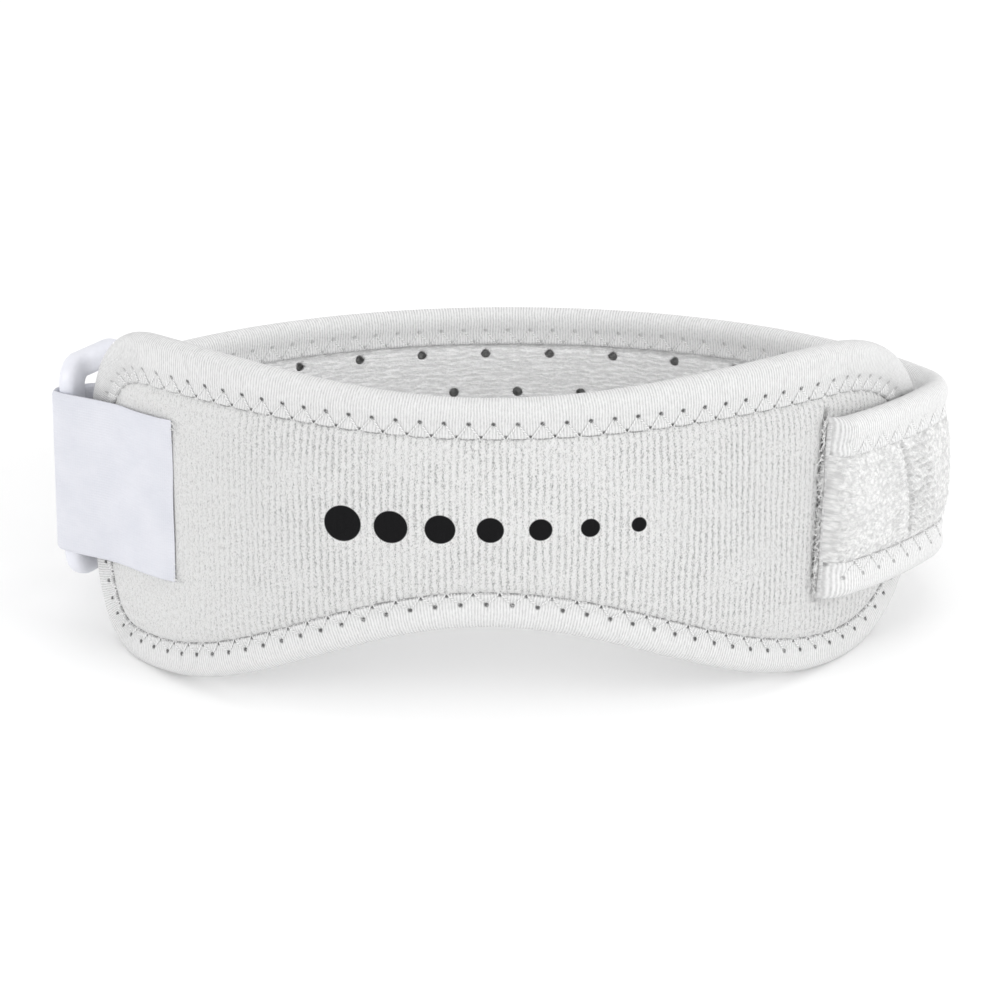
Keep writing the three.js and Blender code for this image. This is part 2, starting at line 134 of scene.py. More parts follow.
@dataclass(frozen=True)
class Oval:
    """Closed oval of four arcs in plan, traced by its length from the middle of the front toward +X."""

    half_width: float
    front: float
    back: float
    end_radius: float

    def offset(self, distance: float) -> "Oval":
        """The same oval, moved outward by a distance."""
        sizes = (self.half_width, self.front, self.back, self.end_radius)
        return Oval(*(size + distance for size in sizes))

    @cached_property
    def arcs(self) -> Array:
        """Arcs from the middle of the front round to it again.

        A front or back arc of some depth has its centre set back by
        (reach ** 2 - (depth - r) ** 2) / (2 * (depth - r)), where r is the end radius.

        Returns:
            Rows of centre x, centre y, radius, first angle, last angle and length before the arc.
        """
        reach = self.half_width - self.end_radius
        set_back = [
            (reach**2 - (depth - self.end_radius) ** 2) / (2.0 * (depth - self.end_radius))
            for depth in (self.front, self.back)
        ]
        turn_front = math.atan2(reach, set_back[0])
        turn_back = math.pi - math.atan2(reach, set_back[1])
        whole = 2.0 * math.pi
        rows = [
            (0.0, set_back[0], self.front + set_back[0], 0.0, turn_front),
            (reach, 0.0, self.end_radius, turn_front, turn_back),
            (0.0, -set_back[1], self.back + set_back[1], turn_back, whole - turn_back),
            (-reach, 0.0, self.end_radius, whole - turn_back, whole - turn_front),
            (0.0, set_back[0], self.front + set_back[0], whole - turn_front, whole),
        ]
        table = np.array(rows)
        runs = table[:, 2] * (table[:, 4] - table[:, 3])
        before = np.concatenate([[0.0], np.cumsum(runs)[:-1]])
        return np.column_stack([table, before])

    @cached_property
    def length(self) -> float:
        """Length once round the oval."""
        return float((self.arcs[:, 2] * (self.arcs[:, 4] - self.arcs[:, 3])).sum())

    def arc_at(self, along: Array) -> Array:
        """Numbers of the arcs at lengths along the oval."""
        left = np.mod(np.asarray(along, float), self.length)
        return np.clip(np.searchsorted(self.arcs[:, 5], left, side="right") - 1, 0, 4)

    def trace(self, along: Array) -> tuple[Array, Array]:
        """Arc rows and angles at lengths along the oval.

        Args:
            along: Lengths from the middle of the front, of any shape and sign.

        Returns:
            The arc row of each length, and its angle, which turns from -Y toward +X.
        """
        left = np.mod(np.asarray(along, float), self.length)
        row = self.arcs[self.arc_at(along)]
        return row, row[..., 3] + (left - row[..., 5]) / row[..., 2]

    def beside(self, other: "Oval", along: float) -> float:
        """Length along this oval that lies beside a length along another offset of it.

        Args:
            other: The other offset of the oval.
            along: Length along it.

        Returns:
            Length along this one.
        """
        row = self.arcs[int(other.arc_at(along))]
        angle = other.trace(along)[1]
        return float(row[5] + row[2] * (angle - row[3]))

    def outward(self, along: Array) -> Array:
        """Outward directions at lengths along the oval, (sin angle, -cos angle, 0)."""
        angle = self.trace(along)[1]
        return np.stack([np.sin(angle), -np.cos(angle), np.zeros_like(angle)], axis=-1)

    def point(self, along: Array, out: Array, height: Array) -> Array:
        """Points at lengths along the oval, outward distances and heights.

        Args:
            along: Lengths along the oval.
            out: Distances outward from it.
            height: Heights.

        Returns:
            Points with the broadcast shape of the three and a last axis of x, y, z.
        """
        along, out, height = np.broadcast_arrays(along, out, height)
        row, angle = self.trace(along)
        reach = row[..., 2] + out
        x = row[..., 0] + reach * np.sin(angle)
        y = row[..., 1] - reach * np.cos(angle)
        return np.stack([x, y, height], axis=-1)


@dataclass(frozen=True)
class Surface:
    """Quads over shared points, in millimetres, with a flat coordinate for each corner."""

    points: Array
    faces: Array
    flat: Array

    @staticmethod
    def grid(
        points: Array,
        u: Array,
        v: Array,
        around: bool = False,
        closed: bool = False,
        capped: bool = False,
    ) -> "Surface":
        """Quads between neighbours of a grid of points.

        Args:
            points: Grid of shape (rows, columns, 3).
            u: Flat coordinate of each row, with one more value than rows when closed.
            v: Flat coordinate of each column, with one more value than columns when around.
            around: Whether the last column joins the first, as round a section.
            closed: Whether the last row joins the first, as round a loop.
            capped: Whether the first and last rows are filled, pairing each point of the first half of a
                section with its partner in the second half.

        Returns:
            The surface.
        """
        rows, columns = points.shape[:2]
        i, j = np.meshgrid(
            np.arange(rows if closed else rows - 1),
            np.arange(columns if around else columns - 1),
            indexing="ij",
        )
        corners_i = np.stack([i, i + 1, i + 1, i], axis=-1).reshape(-1, 4)
        corners_j = np.stack([j, j, j + 1, j + 1], axis=-1).reshape(-1, 4)
        faces = (corners_i % rows) * columns + corners_j % columns
        flat = np.stack([np.asarray(u, float)[corners_i], np.asarray(v, float)[corners_j]], axis=-1)
        if capped:
            half = columns // 2
            k = np.arange(half - 1)
            pair = np.stack([k, k + 1, columns - 2 - k, columns - 1 - k], axis=-1)
            last = (rows - 1) * columns + pair[:, ::-1]
            side_flat = np.asarray(v, float)[pair]
            first_flat = np.stack([np.full(pair.shape, float(u[0])), side_flat], axis=-1)
            last_flat = np.stack([np.full(pair.shape, float(u[-1])), side_flat[:, ::-1]], axis=-1)
            faces = np.concatenate([faces, pair, last])
            flat = np.concatenate([flat, first_flat, last_flat])
        return Surface(points.reshape(-1, 3), faces, flat)

    @staticmethod
    def joined(parts: list["Surface"]) -> "Surface":
        """Several surfaces as one."""
        starts = np.cumsum([0] + [len(part.points) for part in parts[:-1]])
        return Surface(
            np.concatenate([part.points for part in parts]),
            np.concatenate([part.faces + start for part, start in zip(parts, starts)]),
            np.concatenate([part.flat for part in parts]),
        )

    def welded(self) -> "Surface":
        """The surface with its coincident points made one.

        Returns:
            The welded surface. Points are the same when they round to the same half of a micrometre.
        """
        keys = np.round(self.points * 2000.0).astype(np.int64)
        _, first, back = np.unique(keys, axis=0, return_index=True, return_inverse=True)
        return Surface(self.points[first], back.reshape(-1)[self.faces], self.flat)

    def facing_out(self) -> "Surface":
        """The closed surface with its faces turned outward, by the sign of its volume.

        Returns:
            This surface, or one whose faces run the other way round.
        """
        a, b, c, d = (self.points[self.faces[:, k]] for k in range(4))
        volume = (a * np.cross(b, c)).sum() + (a * np.cross(c, d)).sum()
        if volume >= 0.0:
            return self
        return Surface(self.points, self.faces[:, ::-1], self.flat[:, ::-1])

    def to_object(self, name: str, stance: "Stance") -> Object:
        """Blender object of the surface, stood on the floor.

        Args:
            name: Name of the object.
            stance: How the strap stands.

        Returns:
            The object, at the origin, with its place in its mesh.
        """
        kept = self.faces != np.roll(self.faces, 1, axis=1)
        whole = kept.sum(axis=1) >= 3
        kept &= whole[:, None]
        totals = kept.sum(axis=1)[whole]
        mesh = bpy.data.meshes.new(name)
        mesh.vertices.add(len(self.points))
        mesh.loops.add(int(kept.sum()))
        mesh.polygons.add(len(totals))
        mesh.vertices.foreach_set("co", stance.place(self.points).astype(np.float32).ravel())
        mesh.loops.foreach_set("vertex_index", self.faces[kept].astype(np.int32))
        starts = np.concatenate([[0], np.cumsum(totals)[:-1]])
        mesh.polygons.foreach_set("loop_start", starts.astype(np.int32))
        layer = mesh.uv_layers.new(name=UV_NAME)
        layer.data.foreach_set("uv", self.flat[kept].astype(np.float32).ravel())
        mesh.update(calc_edges=True)
        mesh.validate()
        mesh.polygons.foreach_set("use_smooth", np.ones(len(mesh.polygons), bool))
        mesh.set_sharp_from_angle(angle=math.radians(SHARP_DEGREES))
        piece = bpy.data.objects.new(name, mesh)
        bpy.context.scene.collection.objects.link(piece)
        LOG.info("%s: %d faces", name, len(mesh.polygons))
        return piece


@dataclass(frozen=True)
class Stance:
    """How the strap stands: its turn, and where its own origin comes to lie, in millimetres."""

    turn: Array
    shift: Array

    @staticmethod
    def turned(lean: float, roll: float) -> Array:
        """Turn back by a lean about X after a roll about Y."""
        return np.array(Matrix.Rotation(-lean, 3, "X") @ Matrix.Rotation(roll, 3, "Y"))

    def place(self, points: Array) -> Array:
        """Points where they stand, pressed up to the floor.

        Args:
            points: Points in the strap's own frame, in millimetres.

        Returns:
            Points in metres, none below the floor.
        """
        stood = points @ self.turn.T + self.shift
        stood[..., 2] = np.maximum(stood[..., 2], 0.0)
        return stood * MM

    def free(self, points: Array) -> Array:
        """Points in metres where they stand, also those below the floor."""
        return (points @ self.turn.T + self.shift) * MM


def halved(low: float, high: float, too_small: Callable[[float], bool]) -> float:
    """Number between two ends where a test stops saying that it is too small, by 30 halvings."""
    for _ in range(30):
        middle = (low + high) / 2.0
        if too_small(middle):
            low = middle
        else:
            high = middle
    return low


class Signal:
    """A node's output, on which Python's operators add Math nodes."""

    def __init__(self, maker: "Maker", socket: NodeSocket) -> None:
        """Wraps one output socket of a maker's tree."""
        self.maker = maker
        self.socket = socket

    def math(self, operation: str, *others: object, swapped: bool = False) -> "Signal":
        """A Math node on this signal and others.

        Args:
            operation: The node's operation.
            others: Its other inputs, as signals or numbers.
            swapped: Whether this signal is the second input and not the first.

        Returns:
            The node's result.
        """
        inputs = [self, *others]
        if swapped:
            inputs.reverse()
        node = self.maker.add("ShaderNodeMath", {"operation": operation}, dict(enumerate(inputs)))
        return Signal(self.maker, node.outputs[0])

    def __add__(self, other: object) -> "Signal":
        """Sum."""
        return self.math("ADD", other)

    __radd__ = __add__

    def __mul__(self, other: object) -> "Signal":
        """Product."""
        return self.math("MULTIPLY", other)

    __rmul__ = __mul__

    def __sub__(self, other: object) -> "Signal":
        """Difference."""
        return self.math("SUBTRACT", other)

    def __rsub__(self, other: object) -> "Signal":
        """Difference from a number."""
        return self.math("SUBTRACT", other, swapped=True)

    def __truediv__(self, other: object) -> "Signal":
        """Quotient."""
        return self.math("DIVIDE", other)

    def sine(self) -> "Signal":
        """Sine of a whole number of turns, from 0 to 1."""
        return (self * (2.0 * math.pi)).math("SINE") * 0.5 + 0.5

    def part(self) -> "Signal":
        """Fraction past the last whole number."""
        return self.math("FRACT")

    def step(self, low: float, high: float) -> "Signal":
        """Smooth step from 0 at low to 1 at high, or falling where low is above high.

        Args:
            low: Value at which the step is 0.
            high: Value at which it is 1.

        Returns:
            The step.
        """
        falls = low > high
        node = self.maker.add(
            "ShaderNodeMapRange",
            {"interpolation_type": "SMOOTHSTEP"},
            {0: self, 1: min(low, high), 2: max(low, high), 3: float(falls), 4: float(not falls)},
        )
        return Signal(self.maker, node.outputs[0])


class Maker:
    """Builds one material's nodes."""

    def __init__(self, name: str, roughness: float, specular: float = 0.12) -> None:
        """A new material with a Principled shader.

        Args:
            name: Name of the material.
            roughness: The shader's roughness, the same all over.
            specular: The shader's specular level, the same all over and low for cloth.
        """
        self.material = bpy.data.materials.new(name)
        self.material.use_nodes = True
        self.tree = self.material.node_tree
        self.shader = self.tree.nodes["Principled BSDF"]
        self.shader.inputs["Roughness"].default_value = roughness
        self.shader.inputs["Specular IOR Level"].default_value = specular

    def add(self, kind: str, settings: dict[str, object], inputs: dict[object, object]) -> Node:
        """Any node.

        Args:
            kind: The node's type.
            settings: Its properties, which are set first.
            inputs: Values or signals by the name or number of the socket.

        Returns:
            The node.
        """
        node = self.tree.nodes.new(kind)
        for key, value in settings.items():
            setattr(node, key, value)
        for key, value in inputs.items():
            if isinstance(value, Signal):
                self.tree.links.new(value.socket, node.inputs[key])
            else:
                node.inputs[key].default_value = value
        return node

    @cached_property
    def uv(self) -> Signal:
        """The piece's flat coordinates."""
        return Signal(self, self.add("ShaderNodeUVMap", {"uv_map": UV_NAME}, {}).outputs[0])

    @cached_property
    def place(self) -> Signal:
        """Place on the object, in metres."""
        return Signal(self, self.add("ShaderNodeTexCoord", {}, {}).outputs["Object"])

    @cached_property
    def axes(self) -> tuple[Signal, Signal]:
        """The two flat coordinates apart."""
        node = self.add("ShaderNodeSeparateXYZ", {}, {0: self.uv})
        return Signal(self, node.outputs[0]), Signal(self, node.outputs[1])

    def noise(self, scale: tuple[float, float], detail: float = 2.0, roughness: float = 0.55) -> Signal:
        """Noise over the flat coordinates.

        Args:
            scale: Features a millimetre along and across.
            detail: Number of finer noises that are added.
            roughness: Share of each finer noise.

        Returns:
            The noise, from 0 to 1.
        """
        node = self.add("ShaderNodeVectorMath", {"operation": "MULTIPLY"}, {0: self.uv, 1: (*scale, 1.0)})
        place = Signal(self, node.outputs[0])
        inputs = {"Vector": place, "Scale": 1.0, "Detail": detail, "Roughness": roughness}
        return Signal(self, self.add("ShaderNodeTexNoise", {}, inputs).outputs[0])

    def blend(self, share: object, first: object, second: object) -> Signal:
        """Mix of two colours."""
        node = self.add("ShaderNodeMix", {"data_type": "RGBA"}, {0: share, 6: first, 7: second})
        return Signal(self, node.outputs[2])

    def tones(self, share: object, dark: Colour, light: Colour) -> Signal:
        """Tone of a cloth between its dark and its light colour."""
        return self.blend(share, (*dark, 1.0), (*light, 1.0))

    def relief(self, height: Signal, depth: float, strength: float = 1.0) -> None:
        """Relief of the shader.

        Args:
            height: Height from 0 to 1.
            depth: Depth in millimetres that a height of 1 stands for.
            strength: Strength of the relief.
        """
        inputs = {"Height": height, "Distance": depth * MM, "Strength": strength}
        node = self.add("ShaderNodeBump", {}, inputs)
        self.tree.links.new(node.outputs[0], self.shader.inputs["Normal"])

    def colour(self, signal: Signal) -> None:
        """Base colour of the shader."""
        self.tree.links.new(signal.socket, self.shader.inputs["Base Color"])

    def rough(self, signal: Signal) -> None:
        """Roughness of the shader where it changes over the surface."""
        self.tree.links.new(signal.socket, self.shader.inputs["Roughness"])


@dataclass(frozen=True)
class PanelKnit:
    """Ribbed knit of the panel, with a plain printed row of dots. Flat coordinates are millimetres.

    The crease beside the strap's sewn end runs along u = crease_at + crease_slant * v, where the knit
    carries painted shade.
    """

    rib: float = 1.0
    loop: float = 0.5
    light: Colour = (0.99, 0.99, 0.985)
    dark: Colour = (0.33, 0.33, 0.33)
    ink: Colour = (0.006, 0.006, 0.007)
    # Colour of the painted shade in the crease beside the strap's sewn end
    painted_crease_shade: Colour = (0.16, 0.16, 0.16)
    crease_at: float = 0.0
    crease_slant: float = 0.0
    mark_from: float = -20.6
    mark_pitch: float = 7.05
    mark_count: int = 7
    mark_height: float = 0.9
    mark_radius: float = 2.7
    mark_last_radius: float = 1.1

    def make(self) -> Material:
        """Ribs run up and down, each a column of leaning loops, with grain and dark gaps between them, a
        painted highlight over the left end and painted shade in the crease by the strap's sewn end.

        Returns:
            The material.
        """
        made = Maker("panel_knit", roughness=0.92)
        u, v = made.axes
        wander = made.noise((0.22, 0.08), detail=1.0) * 0.8 + made.noise((2.4, 0.8), detail=2.0) * 0.6
        across = u / self.rib + wander
        ridge = across.sine()
        lean = (across.part() - 0.5).math("ABSOLUTE")
        loops = (v / self.loop + lean * 1.2 + wander * 1.4).sine()
        grain = made.noise((7.0, 3.4), detail=3.0, roughness=0.9)
        speckle = made.noise((3.6, 1.3), detail=3.0, roughness=0.85)
        # Painted highlight: over the left end the relief is softened and the colour blended toward the
        # light tone, for the bright light that washes it out
        lit_left_end = u.step(-22.0, -56.0)
        right_end = u.step(30.0, 66.0)
        patches = made.noise((0.09, 0.13), detail=1.0).step(0.34, 0.6) * 0.5 + 0.5
        crisp = (1.0 - lit_left_end * 0.85 - right_end * 0.35) * patches
        height = (ridge * 0.12 + loops * ridge * 0.10) * crisp + grain * 0.75 + speckle * 0.75
        made.relief(height, 0.75, 0.85)
        gaps = (height - crisp * 0.11).step(0.44, 0.80)
        cloth = made.tones(gaps, self.dark, self.light)
        # Painted highlight over the left end
        cloth = made.blend(lit_left_end * 0.25, cloth, (*self.light, 1.0))
        # Painted shade: the knit is darkened in speckles along the crease beside the strap's sewn end
        crease = (u - v * self.crease_slant - self.crease_at).math("ABSOLUTE").step(0.75, 0.15)
        crease = crease * v.math("ABSOLUTE").step(14.6, 13.4) * speckle.step(0.3, 0.6)
        cloth = made.blend(crease * 0.75, cloth, (*self.painted_crease_shade, 1.0))
        printed = self.mark(u, v)
        made.colour(made.blend(printed, cloth, (*self.ink, 1.0)))
        made.rough(0.92 - printed * 0.30)
        return made.material

    def mark(self, u: Signal, v: Signal) -> Signal:
        """Row of round dots of even pitch whose radius falls evenly from the first to the last.

        Args:
            u: Flat place along the panel.
            v: Flat height.

        Returns:
            1 on the dots and 0 elsewhere, with a soft rim.
        """
        cell = (u - (self.mark_from - self.mark_pitch / 2.0)) / self.mark_pitch
        number = cell.math("FLOOR")
        beside = (cell.part() - 0.5) * self.mark_pitch
        above = v - self.mark_height
        distance = (beside * beside + above * above).math("SQRT")
        fall = (self.mark_radius - self.mark_last_radius) / (self.mark_count - 1)
        radius = self.mark_radius - number * fall
        inside = (distance - radius).step(0.10, -0.06)
        first = (number + 0.5).math("GREATER_THAN", 0.0)
        last = number.math("LESS_THAN", self.mark_count - 0.5)
        outer_face = v.math("GREATER_THAN", -PANEL_BACK / 2.0)
        return inside * first * last * outer_face


@dataclass(frozen=True)
class BindingTape:
    """Stretch tape with ribs across it.

    Flat coordinates are the stitch number and the millimetres inward. The shares say how dark the painted
    shade is in the needle holes, along the cut edge and beside the thread's legs.
    """

    pitch: float
    ribs: int = 8
    point_at: float = 3.45
    edge_at: float = 5.8
    light: Colour = (0.765, 0.765, 0.765)
    dark: Colour = (0.44, 0.44, 0.44)
    # Colour of the painted shade in the needle holes, along the cut edge and beside the thread's legs
    hole: Colour = (0.05, 0.05, 0.05)
    needle_share: float = 0.9
    edge_share: float = 0.6
    leg_share: float = 0.34

    def make(self, name: str) -> Material:
        """Ribs across the tape and fine grain, with painted shade along the zigzag seam.

        Args:
            name: Name of the material.

        Returns:
            The material.
        """
        made = Maker(name, roughness=0.85)
        u, v = made.axes
        wobble = made.noise((1.3, 0.35), detail=1.0) * 0.9
        ribs = (u * float(self.ribs) + wobble).sine()
        grain = made.noise((14.0, 2.0), detail=3.0, roughness=0.75)
        ragged = made.noise((9.0, 2.5), detail=2.0, roughness=0.8)
        # Painted highlight: the seam's painted shade is weakened high up toward both ends of the loop,
        # where bright light washes it out
        seam_pits_and_shade = self.seam(u, v.math("ABSOLUTE"), ragged) * (1.0 - self.faint(made) * 0.7)
        height = ribs * 0.4 + grain * 0.9 - seam_pits_and_shade * 0.9
        made.relief(height, 0.2, 1.0)
        cloth = made.tones((ribs * 0.45 + grain * 0.95).step(0.2, 1.0), self.dark, self.light)
        cloth = made.blend(0.25, cloth, (*self.light, 1.0))
        # Painted shade: the needle holes, the cut edge and the thread's legs are darkened toward the hole
        # colour
        made.colour(made.blend(seam_pits_and_shade, cloth, (*self.hole, 1.0)))
        return made.material

    def seam(self, u: Signal, inward: Signal, ragged: Signal) -> Signal:
        """Places of painted shade along the zigzag seam.

        The needle's holes lie at both ends of its legs, which run from point_at to edge_at in half a
        stitch, and the cut edge has a ragged line.

        Args:
            u: Stitch number.
            inward: Distance from the tape's fold.
            ragged: Noise that breaks up the places.

        Returns:
            How dark the painted shade is at each place, from 0 to 1.
        """
        upper = self.needle(u - 0.5, inward - self.point_at, 0.46)
        lower = self.needle(u, inward - (self.edge_at - 0.22), 0.62)
        line = inward.step(self.edge_at - 0.34, self.edge_at - 0.06) * ragged.step(0.42, 0.56)
        across = ((u + 0.5).part() - 0.5).math("ABSOLUTE") * 2.0
        slant = self.point_at + (self.edge_at - self.point_at) * (1.0 - across)
        past_point = inward.step(self.point_at - 0.1, self.point_at + 0.1)
        leg = (inward - slant).math("ABSOLUTE").step(0.34, 0.1) * past_point
        seam_pits_and_shade = upper.math("MAXIMUM", lower) * ragged.step(0.3, 0.5) * self.needle_share
        return seam_pits_and_shade.math("MAXIMUM", line * self.edge_share).math("MAXIMUM", leg * self.leg_share)

    @staticmethod
    def faint(made: Maker) -> Signal:
        """Where the seam's painted shade is weakened, a painted highlight for the bright light high up,
        toward both ends of the loop.

        Args:
            made: The material's maker.

        Returns:
            1 where the painted shade is weakened and 0 elsewhere.
        """
        place = made.add("ShaderNodeSeparateXYZ", {}, {0: made.place})
        sideways = Signal(made, place.outputs[0]).math("ABSOLUTE")
        return sideways.step(0.042, 0.060) * Signal(made, place.outputs[2]).step(0.018, 0.028)

    def needle(self, stitch: Signal, above: Signal, radius: float) -> Signal:
        """Soft round spot once in each stitch, at its middle.

        Args:
            stitch: Stitch number.
            above: Distance from the row of spots.
            radius: Radius of a spot.

        Returns:
            1 in the spots and 0 elsewhere, with a soft rim.
        """
        beside = ((stitch + 0.5).part() - 0.5) * self.pitch
        distance = (beside * beside + above * above).math("SQRT")
        return distance.step(radius, radius * 0.35)


@dataclass(frozen=True)
class LoopPile:
    """Brushed loop cloth of the strap's outer face. Flat coordinates are millimetres."""

    light: Colour = (0.95, 0.95, 0.945)
    dark: Colour = (0.66, 0.66, 0.66)

    def make(self) -> Material:
        """Tangled loops: two noises, one of them pulled sideways, over small round cells.

        Returns:
            The material.
        """
        made = Maker("loop_pile", roughness=0.95)
        tangle = made.noise((1.3, 3.2), detail=4.0, roughness=0.8)
        fine = made.noise((3.5, 6.5), detail=3.0, roughness=0.75)
        inputs = {"Vector": made.uv, "Scale": 1.7, "Smoothness": 0.5}
        cells = made.add("ShaderNodeTexVoronoi", {"feature": "SMOOTH_F1"}, inputs)
        round_loops = 1.0 - Signal(made, cells.outputs["Distance"])
        height = tangle * 0.6 + fine * 0.35 + round_loops * 0.35
        made.relief(height, 0.55, 0.9)
        made.colour(made.tones(height.step(0.5, 0.84), self.dark, self.light))
        return made.material


@dataclass(frozen=True)
class LiningKnit:
    """Smooth knit of the strap's inner face, with courses along it. Flat coordinates are millimetres."""

    course: float = 0.95
    light: Colour = (0.99, 0.99, 0.99)
    dark: Colour = (0.62, 0.62, 0.62)

    def make(self) -> Material:
        """Wavy courses, broken up by streaks of grain that run along them.

        Returns:
            The material.
        """
        made = Maker("lining_knit", roughness=0.92)
        _, v = made.axes
        wander = made.noise((0.2, 0.5), detail=3.0, roughness=0.7) * 3.4
        courses = (v / self.course + wander).sine()
        streaks = made.noise((0.55, 2.6), detail=4.0, roughness=0.7)
        grain = made.noise((2.6, 3.4), detail=3.0, roughness=0.75)
        height = courses * streaks * 0.3 + streaks * 0.6 + grain * 0.4
        made.relief(height, 0.5, 0.85)
        made.colour(made.tones(height.step(0.38, 0.86), self.dark, self.light))
        return made.material


@dataclass(frozen=True)
class HookTapeCloth:
    """Woven back of the hook tape, slightly blue. Flat coordinates are millimetres."""

    light: Colour = (0.645, 0.65, 0.695)
    dark: Colour = (0.585, 0.595, 0.645)

    def make(self) -> Material:
        """Fine weave along and across, with faint cloudy wear.

        Returns:
            The material.
        """
        made = Maker("hook_tape_cloth", roughness=0.62)
        u, v = made.axes
        warp = (v / 0.42).sine()
        weft = (u / 0.36).sine()
        clouds = made.noise((0.16, 0.2), detail=3.0)
        grain = made.noise((3.0, 3.0), detail=2.0)
        height = warp * 0.3 + weft * 0.3 + grain * 0.5
        made.relief(height, 0.09, 0.8)
        wear = (clouds * 0.7 + height * 0.3).step(0.25, 0.75)
        made.colour(made.tones(wear, self.dark, self.light))
        return made.material


@dataclass(frozen=True)
class RingPlastic:
    """Moulded plastic of the ring, slightly blue and half glossy."""

    light: Colour = (0.72, 0.725, 0.775)
    dark: Colour = (0.66, 0.67, 0.725)

    def make(self) -> Material:
        """Faint clouding and a fine moulded grain, on the object's own coordinates.

        Returns:
            The material.
        """
        made = Maker("ring_plastic", roughness=0.34, specular=0.5)
        made.shader.inputs["Subsurface Weight"].default_value = 0.15
        made.shader.inputs["Subsurface Radius"].default_value = (0.002, 0.002, 0.002)
        cloud = made.add("ShaderNodeTexNoise", {}, {"Vector": made.place, "Scale": 160.0, "Detail": 2.0})
        grain = made.add("ShaderNodeTexNoise", {}, {"Vector": made.place, "Scale": 2600.0, "Detail": 2.0})
        clouds = Signal(made, cloud.outputs[0])
        made.colour(made.tones(clouds.step(0.3, 0.7), self.dark, self.light))
        made.rough(0.3 + clouds * 0.14)
        made.relief(Signal(made, grain.outputs[0]), 0.02, 0.5)
        return made.material


@dataclass(frozen=True)
class TabWebbing:
    """Woven webbing of the tab. Flat coordinates are millimetres."""

    light: Colour = (0.87, 0.87, 0.87)
    dark: Colour = (0.62, 0.62, 0.63)

    def make(self) -> Material:
        """Chevron weave: yarns that lean one way and then the other across the tab.

        Returns:
            The material.
        """
        made = Maker("tab_webbing", roughness=0.8)
        u, v = made.axes
        zig = ((v / 3.6).part() - 0.5).math("ABSOLUTE") * 3.6
        yarns = ((u + zig) / 1.1).sine()
        rows = (v / 0.6).sine()
        grain = made.noise((3.0, 4.0), detail=2.0)
        height = yarns * 0.6 + rows * 0.2 + grain * 0.3
        made.relief(height, 0.22, 0.9)
        made.colour(made.tones(height.step(0.15, 0.75), self.dark, self.light))
        return made.material


@dataclass(frozen=True)
class SeamThread:
    """Twisted sewing thread. Flat coordinates are millimetres along it and turns round it."""

    light: Colour = (0.80, 0.80, 0.80)
    dark: Colour = (0.52, 0.52, 0.52)

    def make(self) -> Material:
        """Plies that wind round the thread once in a millimetre.

        Returns:
            The material.
        """
        made = Maker("seam_thread", roughness=0.7)
        u, v = made.axes
        plies = ((u + v) * 2.0).sine()
        made.relief(plies, 0.05, 0.7)
        made.colour(made.tones(plies.step(0.0, 0.5), self.dark, self.light))
        return made.material


@dataclass(frozen=True)
class FuzzFibre:
    """Single fibres of the loop cloth."""

    light: Colour = (0.90, 0.90, 0.895)
    dark: Colour = (0.66, 0.66, 0.66)

    def make(self) -> Material:
        """Fibres that differ a little in tone from place to place.

        Returns:
            The material.
        """
        made = Maker("fuzz_fibre", roughness=0.8)
        node = made.add("ShaderNodeTexNoise", {}, {"Vector": made.place, "Scale": 1500.0, "Detail": 1.0})
        tone = Signal(made, node.outputs[0])
        made.colour(made.tones(tone.step(0.35, 0.65), self.dark, self.light))
        made.relief(tone, 0.02, 0.5)
        return made.material


@dataclass(frozen=True)
class Loop:
    """The strap's oval in plan, the panel's own oval inside it, and where things lie along them."""

    half_width: float = 66.8
    front: float = 41.4
    back: float = 45.5
    end_radius: float = 9.5
    pad_inset: float = 4.7
    level: float = -1.2
    ring_level: float = -0.4
    ring_before_tip: float = 2.85
    ring_span: float = 13.0
    strap_past_ring: float = 6.5
    strap_start: float = 51.8
    end_slant: float = 0.055

    @cached_property
    def strap(self) -> Oval:
        """Oval along the middle of the strap's thickness."""
        return Oval(self.half_width, self.front, self.back, self.end_radius)

    @cached_property
    def pad(self) -> Oval:
        """Oval along the middle of the panel's thickness."""
        return self.strap.offset(-self.pad_inset)

    def ring_bar(self, tip: float) -> float:
        """Length along the strap's oval of the ring's front bar, from the panel's left tip."""
        return self.strap.beside(self.pad, tip) + self.ring_before_tip

    def strap_end(self, tip: float) -> float:
        """Length along the strap's oval of the strap's left end."""
        return self.ring_bar(tip) - self.ring_span - self.strap_past_ring


@dataclass(frozen=True)
class PanelEnd:
    """One end of the panel: its length from the middle, its lobe's heights and how full its corners are."""

    length: float
    above: float
    below: float
    full_above: float
    full_below: float

    def past_lobe(self, reach: float, fullness: float, turn: Array) -> tuple[Array, Array]:
        """Quarter of a superellipse from the lobe at turn 0 to the tip at a quarter turn.

        The distance is reach + (length - reach) * sin(turn) ** (2 / fullness), and the share of the
        lobe's height is cos(turn) ** (2 / fullness).

        Args:
            reach: Distance of the lobe from the panel's middle.
            fullness: How full the corner is.
            turn: Angles.

        Returns:
            The distances from the panel's middle and the shares of the lobe's height.
        """
        power = 2.0 / fullness
        run = np.clip(np.sin(turn), 0.0, 1.0) ** power
        return reach + (self.length - reach) * run, np.clip(np.cos(turn), 0.0, 1.0) ** power


